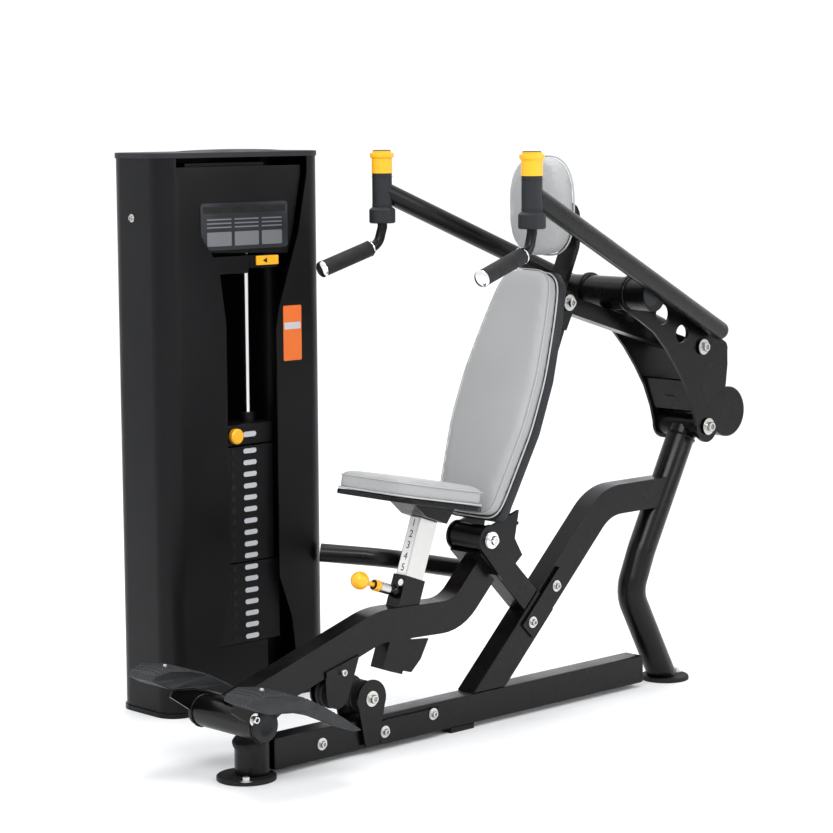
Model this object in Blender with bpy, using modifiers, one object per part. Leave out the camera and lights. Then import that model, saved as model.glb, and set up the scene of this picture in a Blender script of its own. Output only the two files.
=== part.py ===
"""Shoulder press machine with a weight stack, one object for each physical piece.

Metres, +Z up. The user sits facing -Y, and +X is at the user's left hand. The
centre plane of the seat and its rail is X = 0, and the floor is Z = 0.
Side views are outlines of (y, z) points that are extruded along X.
"""
import math

import bmesh
import bpy
from mathutils import Matrix, Vector

OBJECT_NAME = "shoulder_press_machine"

# ---- driving dimensions --------------------------------------------------------
GAP = 0.0003              # between pieces that touch
RUNNING_FIT = 0.0005      # between a pin or post and what it moves in
WELD = 0.001              # how far welded shapes reach into each other
SHEET = 0.008             # laser-cut side plates
FOOT_THICKNESS = 0.010

RAIL_WIDTH = 0.060
RAIL_HEIGHT = 0.075
RAIL_BOTTOM = 0.012
RAIL_REAR = 0.676

FRONT_POST_Y = -0.655
FRONT_POST_RADIUS = 0.0415
FRONT_POST_HEIGHT = 0.086
STOP_TILT = math.radians(17)
STOP_RADIUS = 0.046
STOP_THICKNESS = 0.012

UPRIGHT_RADIUS = 0.038
DIAGONAL_FOOT_Y = 0.095
DIAGONAL_ANGLE = math.radians(44.5)
DIAGONAL_LENGTH = 0.292
DIAGONAL_DEPTH = 0.080
ARCH_DEPTH = 0.078
ARCH_HALF_WIDTH = 0.0275

ARM_PIVOT = (0.878, 0.689)
SEAT_PIVOT = (0.071, 0.476)
ARM_LINK_PIVOT = (0.855, 0.905)
BACK_LINK_PIVOT = (0.383, 1.047)
HUB_RADIUS = 0.034
BOLT_RADIUS = 0.010

ARM_PLATE_X = 0.070       # inner face of each arm plate
ARM_TUBE_RADIUS = 0.025
CROSS_TUBE = (0.578, 1.061)
CROSS_TUBE_RADIUS = 0.043
CROSS_TUBE_HALF = 0.150
COUNTERWEIGHT = (0.984, 0.719)
COUNTERWEIGHT_RADIUS = 0.068
COUNTERWEIGHT_HALF = 0.065

HANDLE_X = 0.261
HANDLE_Y = 0.011
COLLAR_BOTTOM = 1.254
COLLAR_TOP = 1.291
SLEEVE_TOP = 1.379
COLLAR_RADIUS = 0.033
SLEEVE_RADIUS = 0.025
HANDLE_RADIUS = 0.0125
GRIP_RADIUS = 0.020

LINK_HALF_WIDTH = 0.020
LINK_DEPTH = 0.044
LINK_OPEN_CLEARANCE = 0.0065   # play at the pivot where the loop of links is opened

SEAT_TUBE_HALF_WIDTH = 0.0275
SEAT_TUBE_DEPTH = 0.080
CHEEK_X = 0.052
SEAT_LEAN = math.radians(20)
SEAT_AXIS = (-0.150, 0.404)    # where the seat post's axis leaves its sleeve
POST_WIDTH = 0.038
POST_DEPTH = 0.060
SLEEVE_WALL = 0.003
SLEEVE_LENGTH = 0.233
POST_ABOVE = 0.148
POST_BELOW = 0.150
SEAT_DIP = math.radians(11)

BACK_LEAN = math.radians(21.8)
FOOT_TUBE = (-0.712, 0.150)
FOOT_TUBE_RADIUS = 0.036
FOOT_TUBE_HALF = 0.108

TOWER_X = (-0.790, -0.565)
TOWER_Y = (-0.450, 0.085)
TOWER_CORNER = 0.055
TOWER_BOTTOM = 0.012
TOWER_TOP = 1.420
SHROUD_WALL = 0.004
STACK_X = (-0.688, -0.588)
STACK_Y = -0.218
STACK_BOTTOM = 0.160
PLATE_PITCH = 0.0305
PLATE_GROOVE = 0.003
LIGHT_PLATES = 10
HEAVY_PLATES = 7
LIGHT_HALF = 0.134
HEAVY_HALF = 0.150
TOP_PLATE_HEIGHT = 0.054
ROD_RADIUS = 0.010
ROD_SPREAD = 0.092
STEM_RADIUS = 0.009
LIFT_PULLEY_RADIUS = 0.040
CABLE_RADIUS = 0.003
PIN_ALONG = -0.043             # the seat pin's place along the post's axis
PIN_RADIUS = 0.006
BACK_FOOT = (0.148, 0.522)
BACK_TOP = (0.357, 0.990)
BACK_POST_LEAN = math.atan2(BACK_TOP[0] - BACK_FOOT[0], BACK_TOP[1] - BACK_FOOT[1])
HEAD_CENTRE = (0, 0.312, 1.294)
HEAD_SIZE = (0.184, 0.068, 0.252)

FINISHES = {
    "black_paint": ((0.020, 0.020, 0.022), 0.35, 0.0),
    "grey_plastic": ((0.075, 0.078, 0.085), 0.50, 0.0),
    "light_vinyl": ((0.56, 0.56, 0.55), 0.45, 0.0),
    "stainless": ((0.62, 0.62, 0.60), 0.30, 1.0),
    "chrome": ((0.80, 0.80, 0.80), 0.08, 1.0),
    "yellow": ((0.90, 0.50, 0.02), 0.35, 0.0),
    "rubber": ((0.035, 0.036, 0.038), 0.80, 0.0),
    "iron": ((0.045, 0.045, 0.048), 0.55, 0.0),
    "cable_black": ((0.015, 0.015, 0.015), 0.45, 0.0),
}

PARTS = None
CUTTERS = None


# ---- scene and finishing -------------------------------------------------------
def clear_scene():
    for obj in list(bpy.data.objects):
        bpy.data.objects.remove(obj, do_unlink=True)


def new_collection(name, hidden=False):
    found = bpy.data.collections.new(name)
    bpy.context.scene.collection.children.link(found)
    found.hide_render = hidden
    return found


def add_material(obj, finish):
    colour, roughness, metallic = FINISHES[finish]
    material = bpy.data.materials.new(obj.name + "_" + finish)
    material.use_nodes = True
    shader = material.node_tree.nodes["Principled BSDF"]
    shader.inputs["Base Color"].default_value = (*colour, 1.0)
    shader.inputs["Roughness"].default_value = roughness
    shader.inputs["Metallic"].default_value = metallic
    material.diffuse_color = (*colour, 1.0)
    obj.data.materials.clear()
    obj.data.materials.append(material)


def place(obj, finish):
    """Puts a finished piece in the parts' collection, or a cutter (no finish) with the cutters."""
    home = PARTS if finish else CUTTERS
    home.objects.link(obj)
    if finish:
        add_material(obj, finish)
        for face in obj.data.polygons:
            face.use_smooth = False
    else:
        obj.hide_render = True
        obj.display_type = "WIRE"
    return obj


def from_bmesh(name, shape, finish):
    mesh = bpy.data.meshes.new(name)
    shape.to_mesh(mesh)
    shape.free()
    return place(bpy.data.objects.new(name, mesh), finish)


def solid_from_curve(name, curve, finish, matrix):
    """Turns a curve into a closed mesh object, because a curve takes no Boolean."""
    holder = bpy.data.objects.new(name + "_curve", curve)
    CUTTERS.objects.link(holder)
    bpy.context.view_layer.update()
    graph = bpy.context.evaluated_depsgraph_get()
    mesh = bpy.data.meshes.new_from_object(holder.evaluated_get(graph))
    bpy.data.objects.remove(holder, do_unlink=True)
    mesh.transform(matrix)
    shape = bmesh.new()
    shape.from_mesh(mesh)
    bmesh.ops.remove_doubles(shape, verts=shape.verts, dist=0.00001)
    bmesh.ops.recalc_face_normals(shape, faces=shape.faces)
    bpy.data.meshes.remove(mesh)
    return from_bmesh(name, shape, finish)


def set_origin(obj, point):
    """Moves an object's origin to a point, with its mesh where it was."""
    shift = Vector(point)
    obj.data.transform(Matrix.Translation(-shift))
    obj.location = shift
    return obj


def join_to(axis, *pieces):
    """Parents pieces to the empty that stands on their joint's axis."""
    bpy.context.view_layer.update()
    for piece in pieces:
        piece.parent = axis
        piece.matrix_parent_inverse = axis.matrix_world.inverted()


def new_axis(name, point):
    empty = bpy.data.objects.new(name, None)
    empty.location = point
    empty.empty_display_size = 0.05
    PARTS.objects.link(empty)
    return empty


def cut(obj, *cutters):
    for cutter in cutters:
        boolean = obj.modifiers.new("cut_" + cutter.name, "BOOLEAN")
        boolean.operation = "DIFFERENCE"
        boolean.object = cutter
    return obj


def weld(obj, *others):
    """Makes one welded piece: the others join the first and are kept as helpers."""
    for other in others:
        if other.name in PARTS.objects:
            PARTS.objects.unlink(other)
            CUTTERS.objects.link(other)
        other.hide_render = True
        other.display_type = "WIRE"
        boolean = obj.modifiers.new("weld_" + other.name, "BOOLEAN")
        boolean.operation = "UNION"
        boolean.object = other
    return obj


def soften(obj, width, segments=2, angle=50):
    bevel = obj.modifiers.new("soften", "BEVEL")
    bevel.width = width
    bevel.segments = segments
    bevel.limit_method = "ANGLE"
    bevel.angle_limit = math.radians(angle)
    return obj


# ---- plane geometry ------------------------------------------------------------
def arc(centre, radius, start, end, steps=8):
    """Points on an arc between two angles in degrees, both ends included."""
    turn = [math.radians(start + (end - start) * i / steps) for i in range(steps + 1)]
    return [(centre[0] + radius * math.cos(a), centre[1] + radius * math.sin(a)) for a in turn]


def circle(centre, radius, steps=24):
    return arc(centre, radius, 0, 360, steps)[:-1]


def bend(points, radii, steps=6):
    """A path whose inner corners are rounded, one radius for each inner corner."""
    path = [Vector(points[0])]
    for before, corner, after, radius in zip(points, points[1:], points[2:], radii):
        corner = Vector(corner)
        inward = (Vector(before) - corner).normalized()
        onward = (Vector(after) - corner).normalized()
        half = inward.angle(onward) / 2
        reach = radius / math.tan(half)
        centre = corner + (inward + onward).normalized() * radius / math.sin(half)
        first = corner + inward * reach - centre
        last = corner + onward * reach - centre
        for i in range(steps + 1):
            spoke = first.lerp(last, i / steps).normalized() * radius
            path.append(centre + spoke)
    path.append(Vector(points[-1]))
    return path


def strip(path, width):
    """The outline of a bar of one width that follows a path of (y, z) points."""
    path = [Vector(p) for p in path]
    left, right = [], []
    for i, point in enumerate(path):
        ahead = (path[min(i + 1, len(path) - 1)] - point)
        behind = (point - path[max(i - 1, 0)])
        ahead = (ahead if ahead.length else behind).normalized()
        behind = (behind if behind.length else ahead).normalized()
        along = (ahead + behind).normalized()
        side = Vector((-along.y, along.x)) * width / 2 / max(along.dot(ahead), 0.2)
        left.append(tuple(point + side))
        right.append(tuple(point - side))
    return left + right[::-1]


def mix(start, end, share):
    return tuple(a + (b - a) * share for a, b in zip(start, end))


def on_diagonal(along, off=0.0):
    """A point of the leaning frame tube's own axes, as (y, z)."""
    c, s = math.cos(DIAGONAL_ANGLE), math.sin(DIAGONAL_ANGLE)
    foot = (DIAGONAL_FOOT_Y, RAIL_BOTTOM + RAIL_HEIGHT)
    return (foot[0] + along * c - off * s, foot[1] + along * s + off * c)


def on_post(along, off=0.0):
    """A point along the seat post's axis, and off it towards the front, as (y, z)."""
    c, s = math.cos(SEAT_LEAN), math.sin(SEAT_LEAN)
    return (SEAT_AXIS[0] + along * s - off * c, SEAT_AXIS[1] + along * c + off * s)


# ---- solids --------------------------------------------------------------------
SIDE_VIEW = Matrix(((0, 0, 1, 0), (1, 0, 0, 0), (0, 1, 0, 0), (0, 0, 0, 1)))


def flat_curve(name, loops, half):
    curve = bpy.data.curves.new(name, "CURVE")
    curve.dimensions = "2D"
    curve.fill_mode = "BOTH"
    curve.extrude = half
    for loop in loops:
        spline = curve.splines.new("POLY")
        spline.points.add(len(loop) - 1)
        for point, at in zip(spline.points, loop):
            point.co = (at[0], at[1], 0.0, 1.0)
        spline.use_cyclic_u = True
    return curve


def outline(name, loops, low_x, high_x, finish):
    """A plate or bar: its side view in (y, z), holes after it, extruded between two X values."""
    curve = flat_curve(name, loops, (high_x - low_x) / 2)
    shift = Matrix.Translation(((low_x + high_x) / 2, 0, 0))
    return solid_from_curve(name, curve, finish, shift @ SIDE_VIEW)


def plan(name, loops, low_z, high_z, finish):
    """A plate seen from above in (x, y), extruded between two heights."""
    curve = flat_curve(name, loops, (high_z - low_z) / 2)
    return solid_from_curve(name, curve, finish, Matrix.Translation((0, 0, (low_z + high_z) / 2)))


def box(name, low, high, finish, bevel=0.0):
    size = Vector(high) - Vector(low)
    centre = (Vector(high) + Vector(low)) / 2
    shape = bmesh.new()
    bmesh.ops.create_cube(shape, size=1.0, matrix=Matrix.Translation(centre) @ Matrix.Diagonal((*size, 1)))
    obj = from_bmesh(name, shape, finish)
    return soften(obj, bevel) if bevel else obj


def tilted_box(name, centre, size, lean, finish, bevel=0.0):
    """A box turned about X; its centre is (x, y, z), its size is across, deep and tall."""
    turn = Matrix.Rotation(-lean, 4, "X")
    shape = bmesh.new()
    whole = Matrix.Translation(centre) @ turn @ Matrix.Diagonal((*size, 1))
    bmesh.ops.create_cube(shape, size=1.0, matrix=whole)
    obj = from_bmesh(name, shape, finish)
    return soften(obj, bevel) if bevel else obj


def rod(name, start, end, radius, finish, sides=24, far_radius=None):
    """A cylinder or cone between two points."""
    start, end = Vector(start), Vector(end)
    along = end - start
    turn = along.to_track_quat("Z", "Y").to_matrix().to_4x4()
    shape = bmesh.new()
    bmesh.ops.create_cone(
        shape,
        cap_ends=True,
        segments=sides,
        radius1=radius,
        radius2=radius if far_radius is None else far_radius,
        depth=along.length,
        matrix=Matrix.Translation((start + end) / 2) @ turn,
    )
    return from_bmesh(name, shape, finish)


def turned(name, profile, start, direction, finish, steps=24):
    """A turned piece: (radius, distance) points, outer side first, about an axis from start."""
    turn = Vector(direction).to_track_quat("Z", "Y").to_matrix().to_4x4()
    ring = profile[0][0] > 0
    shape = bmesh.new()
    corners = [shape.verts.new((radius, 0.0, height)) for radius, height in profile]
    pairs = list(zip(corners, corners[1:])) + ([(corners[-1], corners[0])] if ring else [])
    for a, b in pairs:
        shape.edges.new((a, b))
    bmesh.ops.spin(
        shape,
        geom=shape.verts[:] + shape.edges[:],
        axis=(0, 0, 1),
        cent=(0, 0, 0),
        steps=steps,
        angle=math.tau,
    )
    bmesh.ops.remove_doubles(shape, verts=shape.verts, dist=0.00001)
    bmesh.ops.recalc_face_normals(shape, faces=shape.faces)
    bmesh.ops.transform(shape, matrix=Matrix.Translation(start) @ turn, verts=shape.verts)
    return from_bmesh(name, shape, finish)


def tube(name, path, radius, finish, resolution=6):
    """A round tube or rod along a path of (x, y, z) points."""
    curve = bpy.data.curves.new(name, "CURVE")
    curve.dimensions = "3D"
    curve.bevel_depth = radius
    curve.bevel_resolution = resolution
    curve.use_fill_caps = True
    spline = curve.splines.new("POLY")
    spline.points.add(len(path) - 1)
    for point, at in zip(spline.points, path):
        point.co = (*at, 1.0)
    return solid_from_curve(name, curve, finish, Matrix.Identity(4))


def trim(obj, point, normal):
    """Cuts off what lies beyond a plane and closes the end."""
    shape = bmesh.new()
    shape.from_mesh(obj.data)
    found = bmesh.ops.bisect_plane(
        shape,
        geom=shape.verts[:] + shape.edges[:] + shape.faces[:],
        plane_co=point,
        plane_no=normal,
        clear_outer=True,
    )
    edges = [item for item in found["geom_cut"] if isinstance(item, bmesh.types.BMEdge)]
    bmesh.ops.triangle_fill(shape, edges=edges, use_beauty=True)
    bmesh.ops.recalc_face_normals(shape, faces=shape.faces)
    shape.to_mesh(obj.data)
    shape.free()
    return obj


def x_rod(name, centre, radius, low_x, high_x, finish, sides=24):
    return rod(name, (low_x, *centre), (high_x, *centre), radius, finish, sides)


def sides():
    """The two sides of the machine: the name's ending and the sign of X."""
    return (("left", 1), ("right", -1))


def side_plate(name, loops, inner, thickness, sign, finish):
    low, high = sorted((sign * inner, sign * (inner + thickness)))
    return outline(name, loops, low, high, finish)


# ---- ground frame --------------------------------------------------------------
def make_rail():
    top = RAIL_BOTTOM + RAIL_HEIGHT
    half = RAIL_WIDTH / 2
    front = FRONT_POST_Y + FRONT_POST_RADIUS + GAP
    rail = box("base_rail", (-half, front, RAIL_BOTTOM), (half, RAIL_REAR, top), "black_paint", 0.005)
    weld(rail, box("rail_foot", (-half, -0.040, 0), (half, 0.040, RAIL_BOTTOM + WELD), "rubber"))
    low, high = RAIL_BOTTOM + 0.004, top - 0.012
    nose = (high - low) / 2
    shape = [(-0.085, low), (-0.085, high)] + arc((-0.262, low + nose), nose, 90, 270)
    for ending, sign in sides():
        weld(rail, side_plate("splice_plate_" + ending, [shape], half - WELD, 0.007, sign, "black_paint"))


def make_front_post():
    foot_top = FOOT_THICKNESS + GAP
    top = FRONT_POST_HEIGHT
    post = rod(
        "front_post",
        (0, FRONT_POST_Y, foot_top),
        (0, FRONT_POST_Y, top + 0.05),
        FRONT_POST_RADIUS,
        "black_paint",
        40,
    )
    lean = Vector((0, -math.sin(STOP_TILT), math.cos(STOP_TILT)))
    trim(post, (0, FRONT_POST_Y, top), lean)
    seat = Vector((0, FRONT_POST_Y, top)) + lean * GAP
    cap = [(0, STOP_THICKNESS), (STOP_RADIUS - 0.003, STOP_THICKNESS)]
    cap += [(STOP_RADIUS, STOP_THICKNESS - 0.003), (STOP_RADIUS, 0), (0, 0)]
    turned("stop_cap", cap, seat, lean, "rubber", 40)
    foot_disc("front_foot", FRONT_POST_Y - 0.018, 0.070)


def foot_disc(name, y, radius):
    edge = 0.002
    thick = FOOT_THICKNESS
    profile = [(0, thick), (radius - edge, thick), (radius, thick - edge), (radius, 0), (0, 0)]
    turned(name, profile, (0, y, 0), (0, 0, 1), "rubber", 40)


def upright_path():
    """The rear upright's centreline, from its foot to below the arms' pivot."""
    corners = [(0.790, FOOT_THICKNESS), (0.655, 0.256), (0.704, 0.368), (0.872, 0.678)]
    path = bend(corners, (0.08, 0.25))
    return [(0.0, *point) for point in path]


def make_upright():
    hub_room = x_rod("arm_hub_room", ARM_PIVOT, HUB_RADIUS - WELD, -0.1, 0.1, None)
    upright = tube("rear_upright", upright_path(), UPRIGHT_RADIUS, "black_paint", 10)
    trim(upright, (0, 0, FOOT_THICKNESS + GAP), (0, 0, -1))
    ring = [circle(ARM_PIVOT, HUB_RADIUS, 32), circle(ARM_PIVOT, BOLT_RADIUS + RUNNING_FIT)]
    hub = outline("arm_hub", ring, -ARM_PLATE_X + 0.002, ARM_PLATE_X - 0.002, "black_paint")
    weld(cut(upright, hub_room), hub)
    x_rod("arm_pivot_bolt", ARM_PIVOT, BOLT_RADIUS, -ARM_PLATE_X - 0.013, ARM_PLATE_X + 0.013, "stainless")
    foot_disc("rear_foot", 0.800, 0.065)


def make_diagonal():
    half = RAIL_WIDTH / 2
    end = DIAGONAL_LENGTH
    path = [on_diagonal(-0.08), on_diagonal(end)]
    diagonal = outline("diagonal_tube", [strip(path, DIAGONAL_DEPTH)], -half, half, "black_paint")
    trim(diagonal, (0, 0, RAIL_BOTTOM + RAIL_HEIGHT + GAP), (0, 0, -1))
    soften(diagonal, 0.004)
    for ending, sign in sides():
        bar = strip([on_diagonal(end - 0.105), on_diagonal(end + 0.085)], 0.052)
        weld(diagonal, side_plate("fish_plate_" + ending, [bar], half - WELD, 0.007, sign, "black_paint"))


def make_arch():
    level = 0.518
    start = on_diagonal(DIAGONAL_LENGTH + GAP)
    run = (level - start[1]) / math.tan(DIAGONAL_ANGLE)
    path = bend([start, (start[0] + run, level), (0.772, level)], (0.14,), 8)
    room = tube("upright_room", upright_path(), UPRIGHT_RADIUS + GAP, None, 10)
    shape = strip(path, ARCH_DEPTH)
    arch = outline("arch_tube", [shape], -ARCH_HALF_WIDTH, ARCH_HALF_WIDTH, "black_paint")
    cut(soften(arch, 0.004), room)


def make_seat_bracket():
    """The tube that stands on the leaning tube and carries the seat's pivot."""
    c, s = math.cos(DIAGONAL_ANGLE), math.sin(DIAGONAL_ANGLE)
    reach = (SEAT_PIVOT[0] - DIAGONAL_FOOT_Y, SEAT_PIVOT[1] - RAIL_BOTTOM - RAIL_HEIGHT)
    along = reach[0] * c + reach[1] * s
    off = -reach[0] * s + reach[1] * c
    path = [on_diagonal(along, DIAGONAL_DEPTH / 2 + GAP), on_diagonal(along, off)]
    hub_room = x_rod("seat_hub_room", SEAT_PIVOT, HUB_RADIUS - WELD, -0.1, 0.1, None)
    bracket = outline("pivot_bracket", [strip(path, 0.066)], -0.028, 0.028, "black_paint")
    cut(soften(bracket, 0.004), hub_room)
    end = CHEEK_X - 0.002
    ring = [circle(SEAT_PIVOT, HUB_RADIUS, 32), circle(SEAT_PIVOT, BOLT_RADIUS + RUNNING_FIT)]
    weld(bracket, outline("seat_hub", ring, -end, end, "black_paint"))
    bolt_end = CHEEK_X + SHEET + 0.006
    x_rod("seat_pivot_bolt", SEAT_PIVOT, BOLT_RADIUS, -bolt_end, bolt_end, "stainless")
    side = on_diagonal(along, off - 0.155)
    inner = -0.028 - GAP
    route = [(inner, *side), (-0.430, side[0], side[1] - 0.010), (TOWER_X[1] + 0.003, 0.055, side[1] + 0.005)]
    first = Vector(route[0])
    corner = Vector(route[1])
    last = Vector(route[2])
    path = [first]
    for i in range(9):
        share = i / 8
        a = corner + (first - corner).normalized() * 0.06 * (1 - share)
        b = corner + (last - corner).normalized() * 0.06 * share
        path.append(a.lerp(b, share))
    path.append(last)
    stay = tube("tower_stay", path, 0.025, "black_paint", 6)
    trim(stay, (inner, 0, 0), (1, 0, 0))
    trim(stay, (TOWER_X[1] + SHROUD_WALL, 0, 0), (-1, 0, 0))


def make_rail_pulley():
    centre = (-0.316, 0.136)
    inner = RAIL_WIDTH / 2 + 0.0075
    low = RAIL_BOTTOM + 0.010
    shape = arc(centre, 0.046, -25, 205, 16) + [(centre[0] - 0.022, low), (centre[0] + 0.022, low)]
    block = x_rod("rail_pulley_block", centre, BOLT_RADIUS, -inner - 0.002, inner + 0.002, "black_paint", 20)
    for ending, sign in sides():
        weld(block, side_plate("rail_pulley_cover_" + ending, [shape], inner, 0.005, sign, "black_paint"))
    return pulley("rail_pulley", (0, *centre), (1, 0, 0), 0.040)


def pulley(name, centre, direction, radius):
    """A grooved wheel with its own bore; its axis passes through the centre."""
    half, lip = 0.011, 0.006
    bore = BOLT_RADIUS + RUNNING_FIT
    profile = [(radius, half), (radius, lip), (radius - lip, 0), (radius, -lip), (radius, -half)]
    profile += [(bore, -half), (bore, half)]
    return set_origin(turned(name, profile, centre, direction, "grey_plastic", 28), centre)


# ---- weight tower --------------------------------------------------------------
def tower_plan(grow=0.0, steps=6):
    """The tower's outline from above, a rounded rectangle with slightly crowned sides."""
    (x0, x1), (y0, y1) = TOWER_X, TOWER_Y
    r = TOWER_CORNER
    points = []
    for cx, cy, angle in ((x1 - r, y1 - r, 0), (x0 + r, y1 - r, 90), (x0 + r, y0 + r, 180), (x1 - r, y0 + r, 270)):
        points += arc((cx, cy), r + grow, angle, angle + 90, steps)
    return points


def opening_outline(grow=0.0):
    """The side opening of the shroud in (y, z): straight in the middle, flared at both ends."""
    y_front, y_rear = -0.252, -0.085
    front = [(-0.152, TOWER_TOP + 0.08), (-0.152, 1.378), (-0.081, 1.229), (-0.021, 1.147), (0, 0.998)]
    front += [(0, 0.304), (-0.056, 0.122), (-0.085, -0.1)]
    rear = [(0.110, TOWER_TOP + 0.08), (0.110, 1.378), (0.078, 1.221), (0.042, 1.121), (0.010, 1.029)]
    rear += [(0, 0.977), (0, 0.325), (0.041, 0.212), (0.080, -0.1)]
    front = [(y_front + dy - grow, z) for dy, z in front]
    rear = [(y_rear + dy + grow, z) for dy, z in rear]
    return front + rear[::-1]


def make_shroud():
    ring = [tower_plan(), tower_plan(-SHROUD_WALL)]
    middle = (TOWER_X[1] - 0.030, TOWER_X[1] + 0.1)
    opening = outline("shroud_opening", [opening_outline()], *middle, None)
    split = -0.168
    wide = (TOWER_X[0] - 0.1, TOWER_X[1] + 0.1)
    for name, low_y, high_y in (("front_shroud", split, 0.5), ("rear_shroud", -0.9, split + GAP)):
        room = box(name + "_room", (wide[0], low_y, -0.1), (wide[1], high_y, TOWER_TOP + 0.1), None)
        shell = plan(name, [[*loop] for loop in ring], TOWER_BOTTOM, TOWER_TOP, "black_paint")
        cut(shell, opening, room)
    low = TOWER_TOP + GAP
    cap = plan("tower_cap", [tower_plan(0.003)], low, low + 0.014, "grey_plastic")
    soften(cap, 0.006, 3)


def make_tower_front():
    """The recessed header panel and the flap under it."""
    x = TOWER_X[1] - 0.014
    inset = 0.006
    shape = [(-0.400 + inset, 1.398), (-0.400 + inset, 1.372), (-0.331 + inset, 1.229), (-0.300, 1.180)]
    shape += [(-0.030, 1.170), (-0.009 - inset, 1.221), (0.022 - inset, 1.372), (0.022 - inset, 1.398)]
    panel = outline("header_panel", [shape], x - 0.006, x, "black_paint")
    soften(panel, 0.002)
    flap = [(-0.288, 1.1695), (-0.288, 1.134), (-0.262, 1.124), (-0.170, 1.124), (-0.150, 1.1695)]
    guard = soften(outline("stack_guard", [flap], x - 0.006, x + 0.004, "black_paint"), 0.002)
    hinge = (x + 0.005, -0.108, 1.156)
    lever = box(
        "addon_lever",
        (x + 0.0055, -0.146, 1.143),
        (x + 0.0115, -0.072, 1.1675),
        "yellow",
        0.002,
    )
    backing = [(-0.165, 1.1690), (-0.165, 1.136), (-0.074, 1.136), (-0.074, 1.1690)]
    weld(guard, outline("addon_housing", [backing], x - 0.030, x + 0.005, "black_paint"))
    return set_origin(lever, hinge)


def stack_block(name, low, count, half, rods, stem_room):
    """A stack of resting plates as one piece, with a groove where two plates meet."""
    y0, y1 = STACK_Y - half, STACK_Y + half
    side = []
    for i in range(count):
        bottom = low + i * PLATE_PITCH
        top = bottom + PLATE_PITCH
        side += [(bottom, 0), (top - PLATE_GROOVE, 0)]
        if i < count - 1:
            side.append((top - PLATE_GROOVE / 2, PLATE_GROOVE))
    front = [(y0 + dip, z) for z, dip in side]
    rear = [(y1 - dip, z) for z, dip in side]
    block = outline(name, [front + rear[::-1]], *STACK_X, "iron")
    return cut(block, *rods, stem_room)


def make_stack():
    x = (STACK_X[0] + STACK_X[1]) / 2
    heavy_top = STACK_BOTTOM + HEAVY_PLATES * PLATE_PITCH
    light_top = heavy_top + GAP + LIGHT_PLATES * PLATE_PITCH
    rods = []
    ys = (STACK_Y - ROD_SPREAD, STACK_Y + ROD_SPREAD)
    for ending, y in zip(("front", "rear"), ys):
        low, high = TOWER_BOTTOM, TOWER_TOP - 0.032
        rod("guide_rod_" + ending, (x, y, low), (x, y, high), ROD_RADIUS, "chrome", 20)
        fit = ROD_RADIUS + RUNNING_FIT
        rods.append(rod("rod_room_" + ending, (x, y, 0.05), (x, y, 1.39), fit, None, 20))
    stem_fit = STEM_RADIUS + RUNNING_FIT
    stem_room = rod("stem_room", (x, STACK_Y, 0.05), (x, STACK_Y, light_top + 0.004), stem_fit, None, 20)
    stack_block("heavy_plates", STACK_BOTTOM, HEAVY_PLATES, HEAVY_HALF, rods, stem_room)
    stack_block("light_plates", heavy_top + GAP, LIGHT_PLATES, LIGHT_HALF, rods, stem_room)
    low, high = (STACK_X[0], STACK_Y - 0.110), (STACK_X[1], STACK_Y + 0.110)
    base = plan("tower_base", [tower_plan(0.004)], 0, TOWER_BOTTOM - GAP, "black_paint")
    rest = box("stack_rest", (*low, TOWER_BOTTOM - WELD - GAP), (*high, STACK_BOTTOM - GAP), "black_paint", 0.003)
    cut(weld(base, rest), *[copy_of(room, (0, 0, TOWER_BOTTOM - GAP - 0.05)) for room in rods])
    cross = box(
        "tower_crossbar",
        (x - 0.035, STACK_Y - 0.130, TOWER_TOP - 0.040),
        (x + 0.035, STACK_Y + 0.130, TOWER_TOP - 0.032 + 0.020),
        "black_paint",
        0.003,
    )
    sockets = []
    for room in rods:
        socket = copy_of(room, (0, 0, 0))
        socket.data.transform(Matrix.Translation((0, 0, TOWER_TOP - 0.032 + GAP - 1.39)))
        sockets.append(socket)
    cut(cross, *sockets)
    return top_plate(x, light_top + GAP, rods)


def copy_of(obj, shift):
    """A second cutter with the first one's shape, moved by a shift."""
    twin = bpy.data.objects.new(obj.name + "_copy", obj.data.copy())
    twin.data.transform(Matrix.Translation(shift))
    return place(twin, None)


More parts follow.
